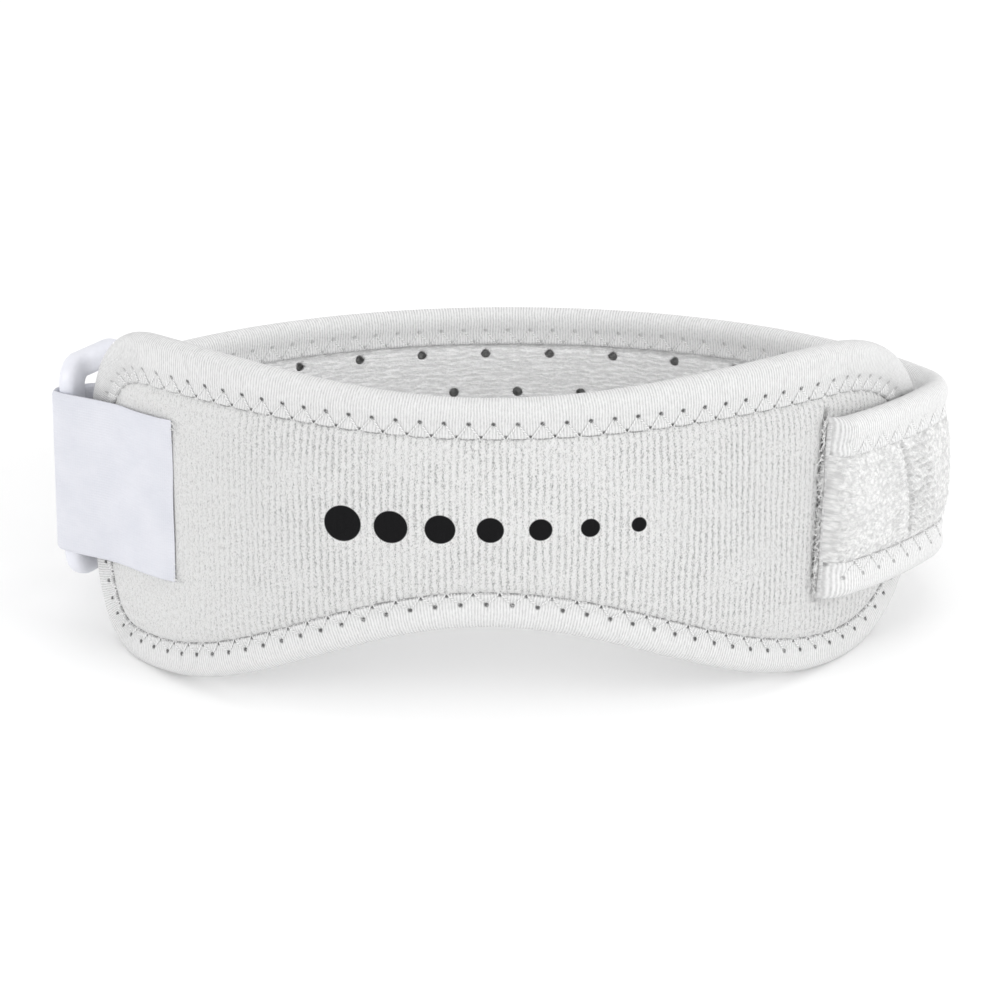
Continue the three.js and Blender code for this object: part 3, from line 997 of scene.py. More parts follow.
@dataclass(frozen=True)
class Outline:
    """Outline of the panel laid flat. Its level line runs along s, and z is the height above it."""

    middle: float = -3.8
    lobe_reach: float = 55.3
    waist_above: float = 20.0
    waist_below: float = 14.8
    left: PanelEnd = PanelEnd(length=72.8, above=24.0, below=29.1, full_above=2.4, full_below=3.0)
    right: PanelEnd = PanelEnd(length=81.8, above=23.1, below=27.7, full_above=2.15, full_below=2.15)

    @property
    def tip(self) -> float:
        """Length along the panel's oval of the left tip."""
        return self.middle - self.left.length

    def edge(self, side: Edge, count: int) -> Array:
        """Points along one edge from the left tip to the right tip, at even distances.

        Between the lobes the height is waist + (lobe - waist) * (1 - cos(pi * s / reach)) / 2, and past
        them it is a quarter of a superellipse.

        Args:
            side: Which edge.
            count: Number of points.

        Returns:
            Array of shape (count, 3) of s, z and, along the upper edge, the share of the lobe's rise.
        """
        top = side is Edge.TOP
        waist = self.waist_above if top else self.waist_below
        ends = (self.left, self.right)
        lobes = [end.above if top else end.below for end in ends]
        full = [end.full_above if top else end.full_below for end in ends]
        turn = np.linspace(np.pi / 2.0, 0.0, 400)
        inner = np.linspace(-1.0, 1.0, 1200)[1:-1]
        left, left_rise = self.left.past_lobe(self.lobe_reach, full[0], turn)
        right, right_rise = self.right.past_lobe(self.lobe_reach, full[1], turn[::-1])
        s = np.concatenate([-left, self.lobe_reach * inner, right])
        rise = np.concatenate([left_rise, (1.0 - np.cos(np.pi * inner)) / 2.0, right_rise])
        base = waist * (np.abs(s) < self.lobe_reach)
        z = (base + (np.where(s < 0.0, *lobes) - base) * rise) * side.value
        run = np.concatenate([[0.0], np.cumsum(np.hypot(np.diff(s), np.diff(z)))])
        even = np.linspace(0.0, run[-1], count)
        return np.column_stack([np.interp(even, run, values) for values in (s, z, rise * float(top))])

    def closed(self, count: int) -> Array:
        """Points once round, from the left tip along the lower edge, at even distances.

        Args:
            count: Number of points.

        Returns:
            Array of shape (count, 5) of s, z, the inward direction in s and z, and the upper lobes' rise.
        """
        below = self.edge(Edge.BOTTOM, 3000)
        above = self.edge(Edge.TOP, 3000)[::-1]
        ring = np.concatenate([below, above[1:]])
        run = np.concatenate([[0.0], np.cumsum(np.hypot(*np.diff(ring[:, :2], axis=0).T))])
        even = np.linspace(0.0, run[-1], count + 1)[:-1]
        s, z, rise = (np.interp(even, run, ring[:, k]) for k in range(3))
        step_s = np.roll(s, -1) - np.roll(s, 1)
        step_z = np.roll(z, -1) - np.roll(z, 1)
        size = np.hypot(step_s, step_z)
        return np.column_stack([s, z, -step_z / size, step_s / size, rise])

    @cached_property
    def length(self) -> float:
        """Length once round."""
        ring = self.closed(4000)[:, :2]
        return float(np.hypot(*(np.roll(ring, -1, axis=0) - ring).T).sum())

    def nearest(self, s: Array, z: Array) -> tuple[Array, Array]:
        """Nearest point of the outline.

        Args:
            s: Flat places along the panel.
            z: Flat heights.

        Returns:
            The distance of each place from the outline, and the upper lobes' rise at its nearest point.
        """
        ring = self.closed(900).astype(np.float32)
        flat = np.stack([s.ravel(), z.ravel()], axis=-1).astype(np.float32)
        gap = np.hypot(flat[:, None, 0] - ring[None, :, 0], flat[:, None, 1] - ring[None, :, 1])
        rise = ring[gap.argmin(axis=1), 4]
        return gap.min(axis=1).astype(float).reshape(s.shape), rise.astype(float).reshape(s.shape)


@dataclass(frozen=True)
class Balance:
    """Points that the strap may rest on, and the turn that brings them to one level."""

    lobes: Array
    hem: Array

    @staticmethod
    def lowest(points: Array, lean: float, roll: float) -> float:
        """Height of the lowest point after a lean and a roll."""
        return float((points @ Stance.turned(lean, roll).T)[:, 2].min())

    def left_lower(self, lean: float, roll: float) -> bool:
        """Whether the left lobe is lower than the right one."""
        left, right = self.lobes[self.lobes[:, 0] < 0], self.lobes[self.lobes[:, 0] > 0]
        return self.lowest(left, lean, roll) < self.lowest(right, lean, roll)

    def roll(self, lean: float) -> float:
        """Roll that brings both lobes to one level at a lean."""
        return halved(-0.1, 0.1, lambda roll: self.left_lower(lean, roll))

    def hem_above(self, lean: float) -> bool:
        """Whether the strap's lower edge is still above the lobes at a lean."""
        roll = self.roll(lean)
        return self.lowest(self.lobes, lean, roll) < self.lowest(self.hem, lean, roll)


@dataclass(frozen=True)
class Workshop:
    """What every sub-assembly is built with."""

    loop: Loop
    outline: Outline
    stance: Stance
    thread: Material

    @staticmethod
    def opened() -> "Workshop":
        """Finds the stance as the CAD part does: both lobes and the strap's lower edge come to one level.

        The ring's middle then gives the shift, because its own box has the same middle.

        Returns:
            The workshop.
        """
        loop, outline = Loop(), Outline()
        ring = outline.closed(600)
        lobes = loop.pad.point(outline.middle + ring[:, 0], 0.0, ring[:, 1])
        hem_along = np.linspace(loop.strap_start, loop.strap_end(outline.tip), 600)
        hem = loop.strap.point(hem_along, 0.0, loop.level - Strap.height / 2.0)
        balance = Balance(lobes, hem)
        lean = halved(0.0, math.pi / 6.0, balance.hem_above)
        roll = balance.roll(lean)
        turn = Stance.turned(lean, roll)
        ring_middle = SlideRing.frame(loop, outline)[0]
        low, high = (np.array(corner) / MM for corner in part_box("slide_ring"))
        LOG.info("stance: leans back %.2f degrees, rolls %.2f degrees", *np.degrees([lean, roll]))
        stance = Stance(turn, (low + high) / 2.0 - ring_middle @ turn.T)
        return Workshop(loop, outline, stance, SeamThread().make())

    def finish(
        self, piece: Object, material: Material, slot: str, *nodes: str,
    ) -> Object:
        """Dresses a piece, hangs it under the root body and hides the CAD nodes that it stands for.

        Args:
            piece: The piece.
            material: Its finish.
            slot: Not used.
            nodes: CAD nodes that it stands for.

        Returns:
            The piece.
        """
        piece.data.materials.append(material)
        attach(piece, "root")
        if nodes:
            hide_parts(*nodes)
        return piece


@dataclass(frozen=True)
class Binding:
    """Section of a tape folded over an edge, and the zigzag seam that holds it.

    flat_width is the width of the unfolded tape in metres.
    """

    slot_half: float
    flat_width: float = 0.0135
    width: float = 5.8
    wall: float = 0.8
    point_at: float = 3.45
    thread: float = 0.15

    @property
    def half(self) -> float:
        """Distance from the cloth's middle to the tape's outer face."""
        return self.slot_half + self.wall

    @staticmethod
    def widened(inward: Array, extra: Array, z: Array) -> Array:
        """Inward distances on a tape that shows wider in places.

        Args:
            inward: Inward distances on a plain tape.
            extra: Width that is added within the fold.
            z: Flat heights. Below the middle the seam's points lie further in.

        Returns:
            The inward distances.
        """
        below = smooth(2.0, 12.0, -z)
        return inward + extra * smooth(1.2, 2.9, inward) + 0.55 * below * bump(3.45, 0.95, inward)

    def face(self, inward: Array, stitch: Array) -> Array:
        """Outward distance of the tape's face.

        It rolls round the edge as a quarter of a circle, is pulled in along the seam, puffs between the
        stitches and turns in at its cut edge.

        Args:
            inward: Distances from the edge.
            stitch: Stitch numbers, whole at the inner needle holes.

        Returns:
            Distances from the cloth's middle.
        """
        into = np.clip(inward / self.half, 0.0, 1.0)
        roll = np.sqrt(np.clip(1.0 - (1.0 - into) ** 2, 0.0, 1.0))
        pulled = 0.30 * smooth(2.4, 4.0, inward)
        across = np.abs(2.0 * ((stitch + 0.5) % 1.0) - 1.0)
        past_leg = inward - (self.point_at + (self.width - self.point_at) * (1.0 - across))
        within = smooth(self.point_at - 0.6, self.point_at + 0.2, inward)
        puff = 0.26 * smooth(0.0, 0.9, past_leg) - 0.16 * bump(0.0, 0.55, past_leg) * within
        cut_edge = 0.22 * smooth(5.5, 5.8, inward)
        return self.half * roll - pulled + puff - cut_edge

    def section(self) -> tuple[Array, Array]:
        """Columns from the outer cut edge round the fold to the inner one.

        Returns:
            Inward distances, and the sign of each one's side.
        """
        turn = np.radians(np.linspace(6.0, 84.0, 7))
        near = self.half * (1.0 - np.cos(turn))
        far = np.array([2.6, 3.0, 3.3, 3.6, 4.0, 4.4, 4.8, 5.2, 5.5, 5.68, self.width])
        half = np.concatenate([near, far])
        inward = np.concatenate([half[::-1], [0.0], half])
        side = np.concatenate([np.ones(len(half)), [0.0], -np.ones(len(half))])
        return inward, side

    def shell(self, stitch: Array) -> tuple[Array, Array, Array]:
        """Whole closed section at each station: the outer face, then the channel's inside on the way back.

        Args:
            stitch: Stitch number of each station.

        Returns:
            Inward distances and outward distances of shape (stations, columns), and the flat coordinate of
            each column with one more at the end.
        """
        inward, side = self.section()
        face = self.face(inward[None, :], stitch[:, None]) * side
        inside_in = np.maximum(inward, self.wall)[::-1]
        inside_out = np.broadcast_to((side * self.slot_half)[::-1], face.shape)
        outer_in = np.broadcast_to(inward, face.shape)
        all_in = np.concatenate([outer_in, np.broadcast_to(inside_in, face.shape)], axis=1)
        all_out = np.concatenate([face, inside_out], axis=1)
        signed = np.where(side == 0.0, 1.0, side) * inward
        flat = np.concatenate([signed, signed[::-1], signed[:1]])
        return all_in, all_out, flat

    def seam(self, count: int, closed: bool) -> tuple[Array, Array, Array]:
        """Path of the zigzag thread over the tape.

        It runs from each inner needle hole to the outer one half a stitch on and back, arched between
        them and sunk at both.

        Args:
            count: Number of stitches.
            closed: Whether the path closes on itself.

        Returns:
            Stitch numbers, inward distances and heights over the tape's face.
        """
        samples = 7
        steps = np.arange(count * 2 * samples + (0 if closed else 1))
        stitch = steps / (2.0 * samples)
        share = np.abs(2.0 * (stitch % 1.0) - 1.0)
        inward = self.point_at + (self.width + 0.08 - self.point_at) * share
        arch = np.sin(np.pi * ((2.0 * stitch) % 1.0))
        height = -0.30 + 0.44 * np.sqrt(np.clip(arch, 0.0, 1.0))
        return stitch, inward, height


def tube(
    path: Array, outward: Array, radius: Array, closed: bool, sides: int = 6,
) -> Surface:
    """Round tube along a path.

    Each ring is centre + radius * (cos t * up + sin t * side), where side is the path's direction crossed
    with the outward direction, and up is side crossed with the direction.

    Args:
        path: Points of the middle line, of shape (count, 3).
        outward: Directions that up stays near to.
        radius: Radius at each point.
        closed: Whether the path closes on itself.
        sides: Number of sides.

    Returns:
        The closed surface.
    """
    if closed:
        along = np.roll(path, -1, axis=0) - np.roll(path, 1, axis=0)
    else:
        along = np.gradient(path, axis=0)
    along /= np.linalg.norm(along, axis=1, keepdims=True)
    side = np.cross(along, outward)
    side /= np.linalg.norm(side, axis=1, keepdims=True)
    up = np.cross(side, along)
    turn = np.linspace(0.0, 2.0 * np.pi, sides, endpoint=False)
    ring = np.cos(turn)[None, :, None] * up[:, None] + np.sin(turn)[None, :, None] * side[:, None]
    points = path[:, None] + np.asarray(radius, float).reshape(-1, 1, 1) * ring
    lengths = np.linalg.norm(np.diff(path, axis=0, append=path[:1]), axis=1)
    run = np.concatenate([[0.0], np.cumsum(lengths)])
    u = run if closed else run[:-1]
    v = np.linspace(0.0, 1.0, sides + 1)
    return Surface.grid(points, u, v, around=True, closed=closed, capped=not closed).facing_out()


def fibres(roots: Array, aims: Array, bends: Array, radius: float) -> Surface:
    """Thin curved fibres, three-sided and tapered.

    A fibre's middle line is root + t * aim + t * t * bend for t from 0 to 1, and its radius falls to a
    third of the first one.

    Args:
        roots: First points, of shape (count, 3).
        aims: Vectors of each fibre's length and direction.
        bends: Vectors by which each fibre's tip bends away.
        radius: Radius at the root.

    Returns:
        The closed fibres as one surface, with their number and share of length as flat coordinates.
    """
    t = np.linspace(0.0, 1.0, 5)
    line = roots[:, None] + aims[:, None] * t[:, None] + bends[:, None] * t[:, None] ** 2
    side = np.cross(aims, bends + np.array([1e-4, 2e-4, 3e-4]))
    side /= np.linalg.norm(side, axis=1, keepdims=True)
    up = np.cross(side, aims)
    up /= np.linalg.norm(up, axis=1, keepdims=True)
    turn = np.radians([0.0, 120.0, 240.0])
    ring = np.cos(turn)[:, None] * side[:, None] + np.sin(turn)[:, None] * up[:, None]
    thick = radius * (1.0 - 0.66 * t)
    points = line[:, :, None] + thick[None, :, None, None] * ring[:, None]
    one = Surface.grid(points[0], t, np.linspace(0.0, 1.0, 4), around=True)
    sides = len(turn)
    last = sides * len(t) - 1
    caps = np.array([[0, 1, 2, 0], [last, last - 1, last - 2, last]])
    faces = np.concatenate([one.faces, caps])
    flat = np.concatenate([one.flat, np.zeros((2, 4, 2))])
    count = len(roots)
    all_faces = (faces[None] + (last + 1) * np.arange(count)[:, None, None]).reshape(-1, 4)
    all_flat = np.broadcast_to(flat, (count, *flat.shape)).reshape(-1, 4, 2)
    return Surface(points.reshape(-1, 3), all_faces, all_flat).facing_out()


@dataclass(frozen=True)
class FrontPanel:
    """Padded hourglass panel: knit over foam, its binding and the binding's seam on both faces."""

    work: Workshop
    half: float = 2.4
    edge_half: float = 0.95
    shoulder_from: float = 5.35
    shoulder: float = 3.4
    stitches: int = 112
    places_per_stitch: int = 56
    wider_over_lobes: float = 1.8

    @property
    def binding(self) -> Binding:
        """The binding's section."""
        return Binding(slot_half=self.edge_half + 0.3)

    @property
    def crease_at(self) -> float:
        """Flat place of the groove beside the strap's sewn end."""
        loop = self.work.loop
        return loop.pad.beside(loop.strap, loop.strap_start) - self.work.outline.middle + 0.35

    def at(self, s: Array, out: Array, z: Array) -> Array:
        """Points of the bent panel from its flat place."""
        return self.work.loop.pad.point(self.work.outline.middle + s, out, z)

    def thickness(self, s: Array, z: Array, side: Side) -> Array:
        """Distance of a face from the panel's middle surface.

        A rounded shoulder rises inside the binding. The outer face has a low crown between the lobes,
        soft ripples, and a groove where the strap's end is sewn on.

        Args:
            s: Flat places along the panel.
            z: Flat heights.
            side: Which face.

        Returns:
            The distances, all above zero.
        """
        depth, rise = self.work.outline.nearest(s, z)
        past_binding = depth - self.shoulder_from - self.wider_over_lobes * rise
        into = np.clip(past_binding / self.shoulder, 0.0, 1.0)
        rise = np.sqrt(1.0 - (1.0 - into) ** 2)
        free = smooth(8.0, 16.0, depth) * (1.0 - smooth(30.0, 46.0, np.abs(s)))
        padding = 0.5 * free + 0.12 * ripple(3, s, z, 26.0) * into * smooth(7.0, 11.0, depth)
        if side is Side.OUTER:
            on_strap = smooth(-17.0, -13.5, z) * (1.0 - smooth(11.5, 15.0, z))
            padding -= 0.9 * bump(self.crease_at, 0.6, s - self.work.loop.end_slant * z) * on_strap
            padding += 0.35 * bump(self.crease_at - 4.6, 2.6, s) * on_strap
            under = smooth(self.crease_at - 0.5, self.crease_at + 2.0, s) * on_strap
            padding = padding * (1.0 - under) - 0.15 * under
            tape = (1.0 - smooth(-51.5, -49.0, s)) * smooth(-15.5, -13.0, z) * (1.0 - smooth(12.2, 14.6, z))
            padding = padding * (1.0 - tape) - 0.10 * tape
        return self.edge_half + (self.half - self.edge_half) * rise + padding

    @staticmethod
    def inward(edge: Array, ring: Array) -> Array:
        """Inward direction at each point of an edge, from the nearest point of the whole outline."""
        gap = np.hypot(edge[:, None, 0] - ring[None, :, 0], edge[:, None, 1] - ring[None, :, 1])
        return ring[gap.argmin(axis=1), 2:4]

    def knit(self) -> Object:
        """Both faces of the panel between two edges, closed where they meet under the binding.

        Columns run from the left tip to the right tip. Across a column the rows first keep their distance
        from the lower edge, then fill the middle evenly, then keep their distance from the upper edge.

        Returns:
            The padded piece.
        """
        columns = 300
        near = np.array([1.1, 3.0, 4.8, 5.35, 5.5, 5.7, 6.0, 6.4, 6.9, 7.5, 8.2, 8.9])
        fill = np.linspace(0.0, 1.0, 40)[1:-1]
        ring = self.work.outline.closed(6000)
        lower = self.work.outline.edge(Edge.BOTTOM, columns)
        upper = self.work.outline.edge(Edge.TOP, columns)
        wide = Binding.widened(near[None, ::-1], self.wider_over_lobes * upper[:, 2:], upper[:, 1:2])
        low = lower[:, None, :2] + self.inward(lower, ring)[:, None] * near[None, :, None]
        high = upper[:, None, :2] + self.inward(upper, ring)[:, None] * wide[..., None]
        between = low[:, -1:, :] + (high[:, :1, :] - low[:, -1:, :]) * fill[None, :, None]
        flat = np.concatenate([low, between, high], axis=1)
        s, z = flat[..., 0], flat[..., 1]
        front = self.at(s, self.thickness(s, z, Side.OUTER), z)
        back = self.at(s, -self.thickness(s, z, Side.INNER), z)[:, ::-1]
        points = np.concatenate([front, back], axis=1)
        surface = Surface.grid(points, np.arange(columns), np.zeros(points.shape[1] + 1), around=True)
        all_s = np.concatenate([s, s[:, ::-1]], axis=1).reshape(-1)
        all_z = np.concatenate([z, z[:, ::-1] - PANEL_BACK], axis=1).reshape(-1)
        surface = Surface(surface.points, surface.faces, np.stack([all_s, all_z], axis=-1)[surface.faces])
        piece = surface.welded().facing_out().to_object("front_pad_knit", self.work.stance)
        finish = PanelKnit(crease_at=self.crease_at, crease_slant=self.work.loop.end_slant)
        self.work.finish(piece, finish.make(), "panel_knit", "front_pad")
        return piece

    def binding_tape(self) -> Object:
        """The binding, one closed channel carried round the outline.

        Returns:
            The sheet.
        """
        per_stitch = 8
        count = self.stitches * per_stitch
        ring = self.work.outline.closed(count)
        stitch = np.arange(count) / per_stitch
        inward, out, v = self.binding.shell(stitch)
        inward = Binding.widened(inward, self.wider_over_lobes * ring[:, 4:], ring[:, 1:2])
        s = ring[:, :1] + ring[:, 2:3] * inward
        z = ring[:, 1:2] + ring[:, 3:4] * inward
        u = np.append(stitch, float(self.stitches))
        surface = Surface.grid(self.at(s, out, z), u, v, around=True, closed=True)
        piece = surface.facing_out().to_object("front_binding_tape", self.work.stance)
        length = self.work.outline.length
        finish = BindingTape(pitch=length / self.stitches)
        self.work.finish(piece, finish.make("front_binding_cloth"), "binding_tape", "front_binding")
        flat = (self.binding.flat_width, length * MM)
        return piece

    def seam(self, side: Side) -> Object:
        """The zigzag seam on one face.

        Args:
            side: Which face.

        Returns:
            The seam.
        """
        stitch, inward, height = self.binding.seam(self.stitches, closed=True)
        ring = self.work.outline.closed(self.stitches * self.places_per_stitch)
        places = np.arange(len(ring) + 1) / float(self.places_per_stitch)
        wrapped = np.concatenate([ring, ring[:1]])
        edge_s, edge_z, in_s, in_z, rise = (np.interp(stitch, places, wrapped[:, k]) for k in range(5))
        shown = Binding.widened(inward, self.wider_over_lobes * rise, edge_z)
        s, z = edge_s + in_s * shown, edge_z + in_z * shown
        out = side.value * (self.binding.face(np.minimum(inward, 5.5), stitch) + height)
        path = self.at(s, out, z)
        outward = self.work.loop.pad.outward(self.work.outline.middle + s) * side.value
        surface = tube(path, outward, np.full(len(path), self.binding.thread), closed=True)
        piece = surface.to_object(f"front_zigzag_{side.name.lower()}", self.work.stance)
        return self.work.finish(piece, self.work.thread, "binding_tape")

    def build(self) -> None:
        """Builds and dresses the panel."""
        self.knit()
        self.binding_tape()
        for side in Side:
            self.seam(side)


def laid(flat: Array, around: bool) -> Surface:
    """Surface over a grid of flat places, at height 0.

    Args:
        flat: Grid of shape (rows, columns, 2).
        around: Whether the last column joins the first.

    Returns:
        The surface.
    """
    grid = np.concatenate([flat, np.zeros((*flat.shape[:2], 1))], axis=-1)
    rows, columns = np.arange(flat.shape[0]), np.arange(flat.shape[1] + 1)
    return Surface.grid(grid, rows, columns, around=around)


def laid_plain(s_values: Array, z_values: Array) -> Surface:
    """Plain flat surface between rows and columns of places."""
    return laid(np.stack(np.meshgrid(s_values, z_values, indexing="ij"), axis=-1), around=False)


@dataclass(frozen=True)
class Strap:
    """Strap of two cloth layers with bound edges, from its sewn end round the back to the ring's tab."""

    work: Workshop
    height: float = 28.2
    cover: float = 1.8
    crown: float = 0.9
    lining: float = 1.5
    edge_layer: float = 0.75
    clearance: float = 0.3
    end_fold: float = 3.4
    hole_diameter: float = 1.7
    hole_pitch: float = 10.9
    hole_rows: float = 6.7
    hole_margin: float = 7.4
    stitch: float = 3.78
    dip_at: float = 67.5
    dip_slant: float = -0.165
    plain_from: float = 88.0
    end_margin: float = 1.1
    pile_fibres: int = 5200
    crease_fibres: int = 1500
    fibres_until: float = 90.0
    fibre_radius: float = 0.055
    pile_reach: float = 8.3
    crease_depth: float = 1.9
    pile_depth: float = 0.12

    @property
    def start(self) -> float:
        """Length along the oval of the sewn end."""
        return self.work.loop.strap_start

    @property
    def end(self) -> float:
        """Length along the oval of the other end."""
        return self.work.loop.strap_end(self.work.outline.tip)

    @property
    def binding(self) -> Binding:
        """The bindings' section."""
        return Binding(slot_half=self.edge_layer + 1.5 * self.clearance)

    @property
    def stations(self) -> Array:
        """Places along the strap, closest at the sewn end, with its fold and wrinkles.

        Returns:
            Lengths along the oval.
        """
        fold = self.start + self.end_fold * np.linspace(0.0, 1.0, 12) ** 2
        close = np.arange(self.start + self.end_fold, self.plain_from, 0.3)[1:]
        rest = np.linspace(self.plain_from, self.end, int((self.end - self.plain_from) / 0.8))
        return np.concatenate([fold, close, rest])

    def at(self, s: Array, out: Array, z: Array) -> Array:
        """Points of the strap, pressed toward the panel over the rounded fold of its sewn end.

        The outward distance over the inner face is scaled by 0.1 + 0.9 * sqrt(1 - (1 - t) ** 2), where t
        is the share of the fold that is past, and the fold's line leans and wavers a little.

        Args:
            s: Lengths along the oval.
            out: Outward distances.
            z: Heights over the strap's middle.

        Returns:
            The points.
        """
        base = -(self.edge_layer + 1.5 * self.clearance + 0.8)
        into = np.clip((s - self.start) / self.end_fold, 0.0, 1.0)
        rise = np.sqrt(1.0 - (1.0 - into) ** 2)
        waver = (0.22 * ripple(41, np.zeros_like(z), z, 11.0) + self.work.loop.end_slant * z) * (1.0 - into)
        pressed = base + (out - base) * (0.1 + 0.9 * rise)
        return self.work.loop.strap.point(s + waver, pressed, self.work.loop.level + z)

    def cover_face(self, s: Array, z: Array) -> Array:
        """Outward distance of the cover's outer face.

        It is thin under the bindings and crowned between them. Near the sewn end a seam pulls it in along
        a line up and down, and short wrinkles run along the strap beyond that line.

        Args:
            s: Lengths along the oval.
            z: Heights over the strap's middle.

        Returns:
            The distances.
        """
        inside = self.clearance / 2.0 + (self.lining - self.cover) / 2.0
        edge = self.height / 2.0 - 5.45
        into = np.clip((edge - np.abs(z)) / 2.6, 0.0, 1.0)
        rise = np.sqrt(1.0 - (1.0 - into) ** 2)
        thin = self.clearance / 2.0 + self.edge_layer
        crown = self.crown * (1.0 - (np.abs(z) / edge).clip(0.0, 1.0) ** 2)
        full = inside + self.cover + crown + 0.10 * ripple(11, s, z, 18.0)
        field = smooth(0.0, 2.0, edge - np.abs(z))
        past = s - self.dip_at - self.dip_slant * z
        full = full - (1.25 * bump(0.0, 0.38, past) - 0.45 * bump(-2.0, 1.5, past)) * field
        beyond = smooth(0.0, 0.8, past) * (1.0 - smooth(4.5, 9.0, past))
        before = 0.3 * smooth(-4.0, -1.0, past) * (1.0 - smooth(-0.6, 0.0, past))
        folds = np.sin(2.0 * np.pi * z / 1.12 + 1.5 * ripple(5, s, z, 9.0))
        full = full + 0.38 * folds * (beyond + before) * field
        return thin + (full - thin) * rise

    def cover_pile(self) -> Object:
        """The outer cover, a closed band with its outer face and its flat inner face.

        Returns:
            The sheet.
        """
        half = self.height / 2.0 - self.end_margin
        body = np.linspace(-8.7, 8.7, 89)
        side = np.array([9.1, 10.5, half])
        z = np.concatenate([-side[::-1], body, side])
        s = self.stations
        front = self.at(s[:, None], self.cover_face(s[:, None], z[None, :]), z[None, :])
        inside = self.clearance / 2.0 + (self.lining - self.cover) / 2.0
        flat_inside = np.where(np.abs(z) < 7.4, inside, self.clearance / 2.0)
        back = self.at(s[:, None], flat_inside[None, :], z[None, :])[:, ::-1]
        v = np.concatenate([z, z[::-1] - STRAP_BACK, z[:1] - STRAP_BACK])
        surface = Surface.grid(np.concatenate([front, back], axis=1), s, v, around=True, capped=True)
        piece = surface.facing_out().to_object("strap_cover_pile", self.work.stance)
        self.work.finish(piece, LoopPile().make(), "loop_cloth", "strap_cover")
        flat = (2.0 * half * MM, (self.end - self.start) * MM)
        return piece

    def hole_tile(self, across: int, up: int) -> Array:
        """Rings of points from a hole to the rim of its tile.

        The tile's rim is a rectangle of even steps, the hole's is a circle in the same directions, and the
        rings between them are shares of the way from one to the other.

        Args:
            across: Steps along the tile.
            up: Steps up the tile.

        Returns:
            Array of shape (rings, points, 2) round the hole's middle.
        """
        half_s, half_z = self.hole_pitch / 2.0, self.hole_rows / 2.0
        side_s = np.linspace(-half_s, half_s, across + 1)
        side_z = np.linspace(-half_z, half_z, up + 1)
        rim = np.concatenate([
            np.column_stack([side_s[:-1], np.full(across, -half_z)]),
            np.column_stack([np.full(up, half_s), side_z[:-1]]),
            np.column_stack([side_s[:0:-1], np.full(across, half_z)]),
            np.column_stack([np.full(up, -half_s), side_z[:0:-1]]),
        ])
        circle = rim / np.hypot(*rim.T)[:, None] * (self.hole_diameter / 2.0)
        shares = np.array([0.0, 0.1, 0.28, 0.6, 1.0])
        return circle[None] + (rim - circle)[None] * shares[:, None, None]

    def lining_flat(self) -> Surface:
        """The lining laid flat: plain cloth round three staggered rows of tiles with holes.

        Returns:
            The flat surface, with s and z in place of x and y.
        """
        across, up = 8, 6
        first = self.start + self.end_fold + self.hole_margin
        count = int((self.end - self.hole_margin - first) // self.hole_pitch)
        half_s, half_z = self.hole_pitch / 2.0, self.hole_rows / 2.0
        tile = self.hole_tile(across, up)
        last = first + (count + 0.5) * self.hole_pitch + 1e-6
        inner = np.arange(first - half_s, last, self.hole_pitch / across)
        before = np.append(np.arange(self.start, first - half_s - 0.4, 1.0), first - half_s)
        after = np.append(inner[-1], np.linspace(inner[-1], self.end, 9)[1:])
        heights = np.arange(-1.5 * self.hole_rows, 1.5 * self.hole_rows + 1e-6, self.hole_rows / up)
        margin = np.linspace(heights[-1], self.height / 2.0 - self.end_margin, 4)
        parts = []
        for s_values in (before, inner, after):
            parts.append(laid_plain(s_values, margin))
            parts.append(laid_plain(s_values, -margin[::-1]))
        for s_values in (before, after):
            parts.append(laid_plain(s_values, heights))
        for row in (-1, 0, 1):
            stagger = 0.5 if row == 0 else 0.0
            for number in range(count + (0 if row == 0 else 1)):
                centre = np.array([first + (number + stagger) * self.hole_pitch, row * self.hole_rows])
                parts.append(laid(tile + centre, around=True))
        for start in (inner[0], inner[-1] - half_s):
            half_tile = np.linspace(start, start + half_s, across // 2 + 1)
            parts.append(laid_plain(half_tile, np.linspace(-half_z, half_z, up + 1)))
        return Surface.joined(parts).welded()

    def lining_knit(self) -> Object:
        """The lining with its holes, as one face that Solidify thickens.

        Returns:
            The sheet.
        """
        flat = self.lining_flat()
        s, z = flat.points[:, 0], flat.points[:, 1]
        outside = -self.clearance / 2.0 + (self.lining - self.cover) / 2.0
        into = 1.0 - smooth(6.9, 8.0, np.abs(z))
        inner_face = -self.clearance / 2.0 - self.edge_layer
        out = inner_face + (outside - self.lining - inner_face) * into
        points = self.at(s, out + 0.06 * ripple(21, s, z, 14.0) * into, z)
        surface = Surface(points, flat.faces, np.stack([s, z], axis=-1)[flat.faces])
        surface = self.facing(surface, Side.INNER)
        piece = surface.to_object("strap_lining_knit", self.work.stance)
        wall = piece.modifiers.new("wall", "SOLIDIFY")
        wall.thickness = 0.7 * MM
        wall.offset = -1.0
        self.work.finish(piece, LiningKnit().make(), "lining_knit", "strap_lining")
        flat_size = (2.0 * (self.height / 2.0 - self.end_margin) * MM, (self.end - self.start) * MM)
        return piece

    def facing(self, surface: Surface, side: Side) -> Surface:
        """An open strap face, turned so that its first quad faces a side.

        Args:
            surface: The face.
            side: The side.

        Returns:
            The face, turned over where it has to be.
        """
        a, b, c = (surface.points[surface.faces[0, k]] for k in range(3))
        normal = np.cross(b - a, c - a)
        outward = self.work.loop.strap.outward(np.array(surface.flat[0, 0, 0]))
        if float(normal @ outward) * side.value >= 0.0:
            return surface
        return Surface(surface.points, surface.faces[:, ::-1], surface.flat[:, ::-1])

    @property
    def stitches(self) -> int:
        """Number of zigzag stitches along the strap."""
        return int((self.end - self.start) / self.stitch)

    def along(self, stitch: Array) -> Array:
        """Length along the oval of a stitch number."""
        return self.start + stitch * (self.end - self.start) / self.stitches

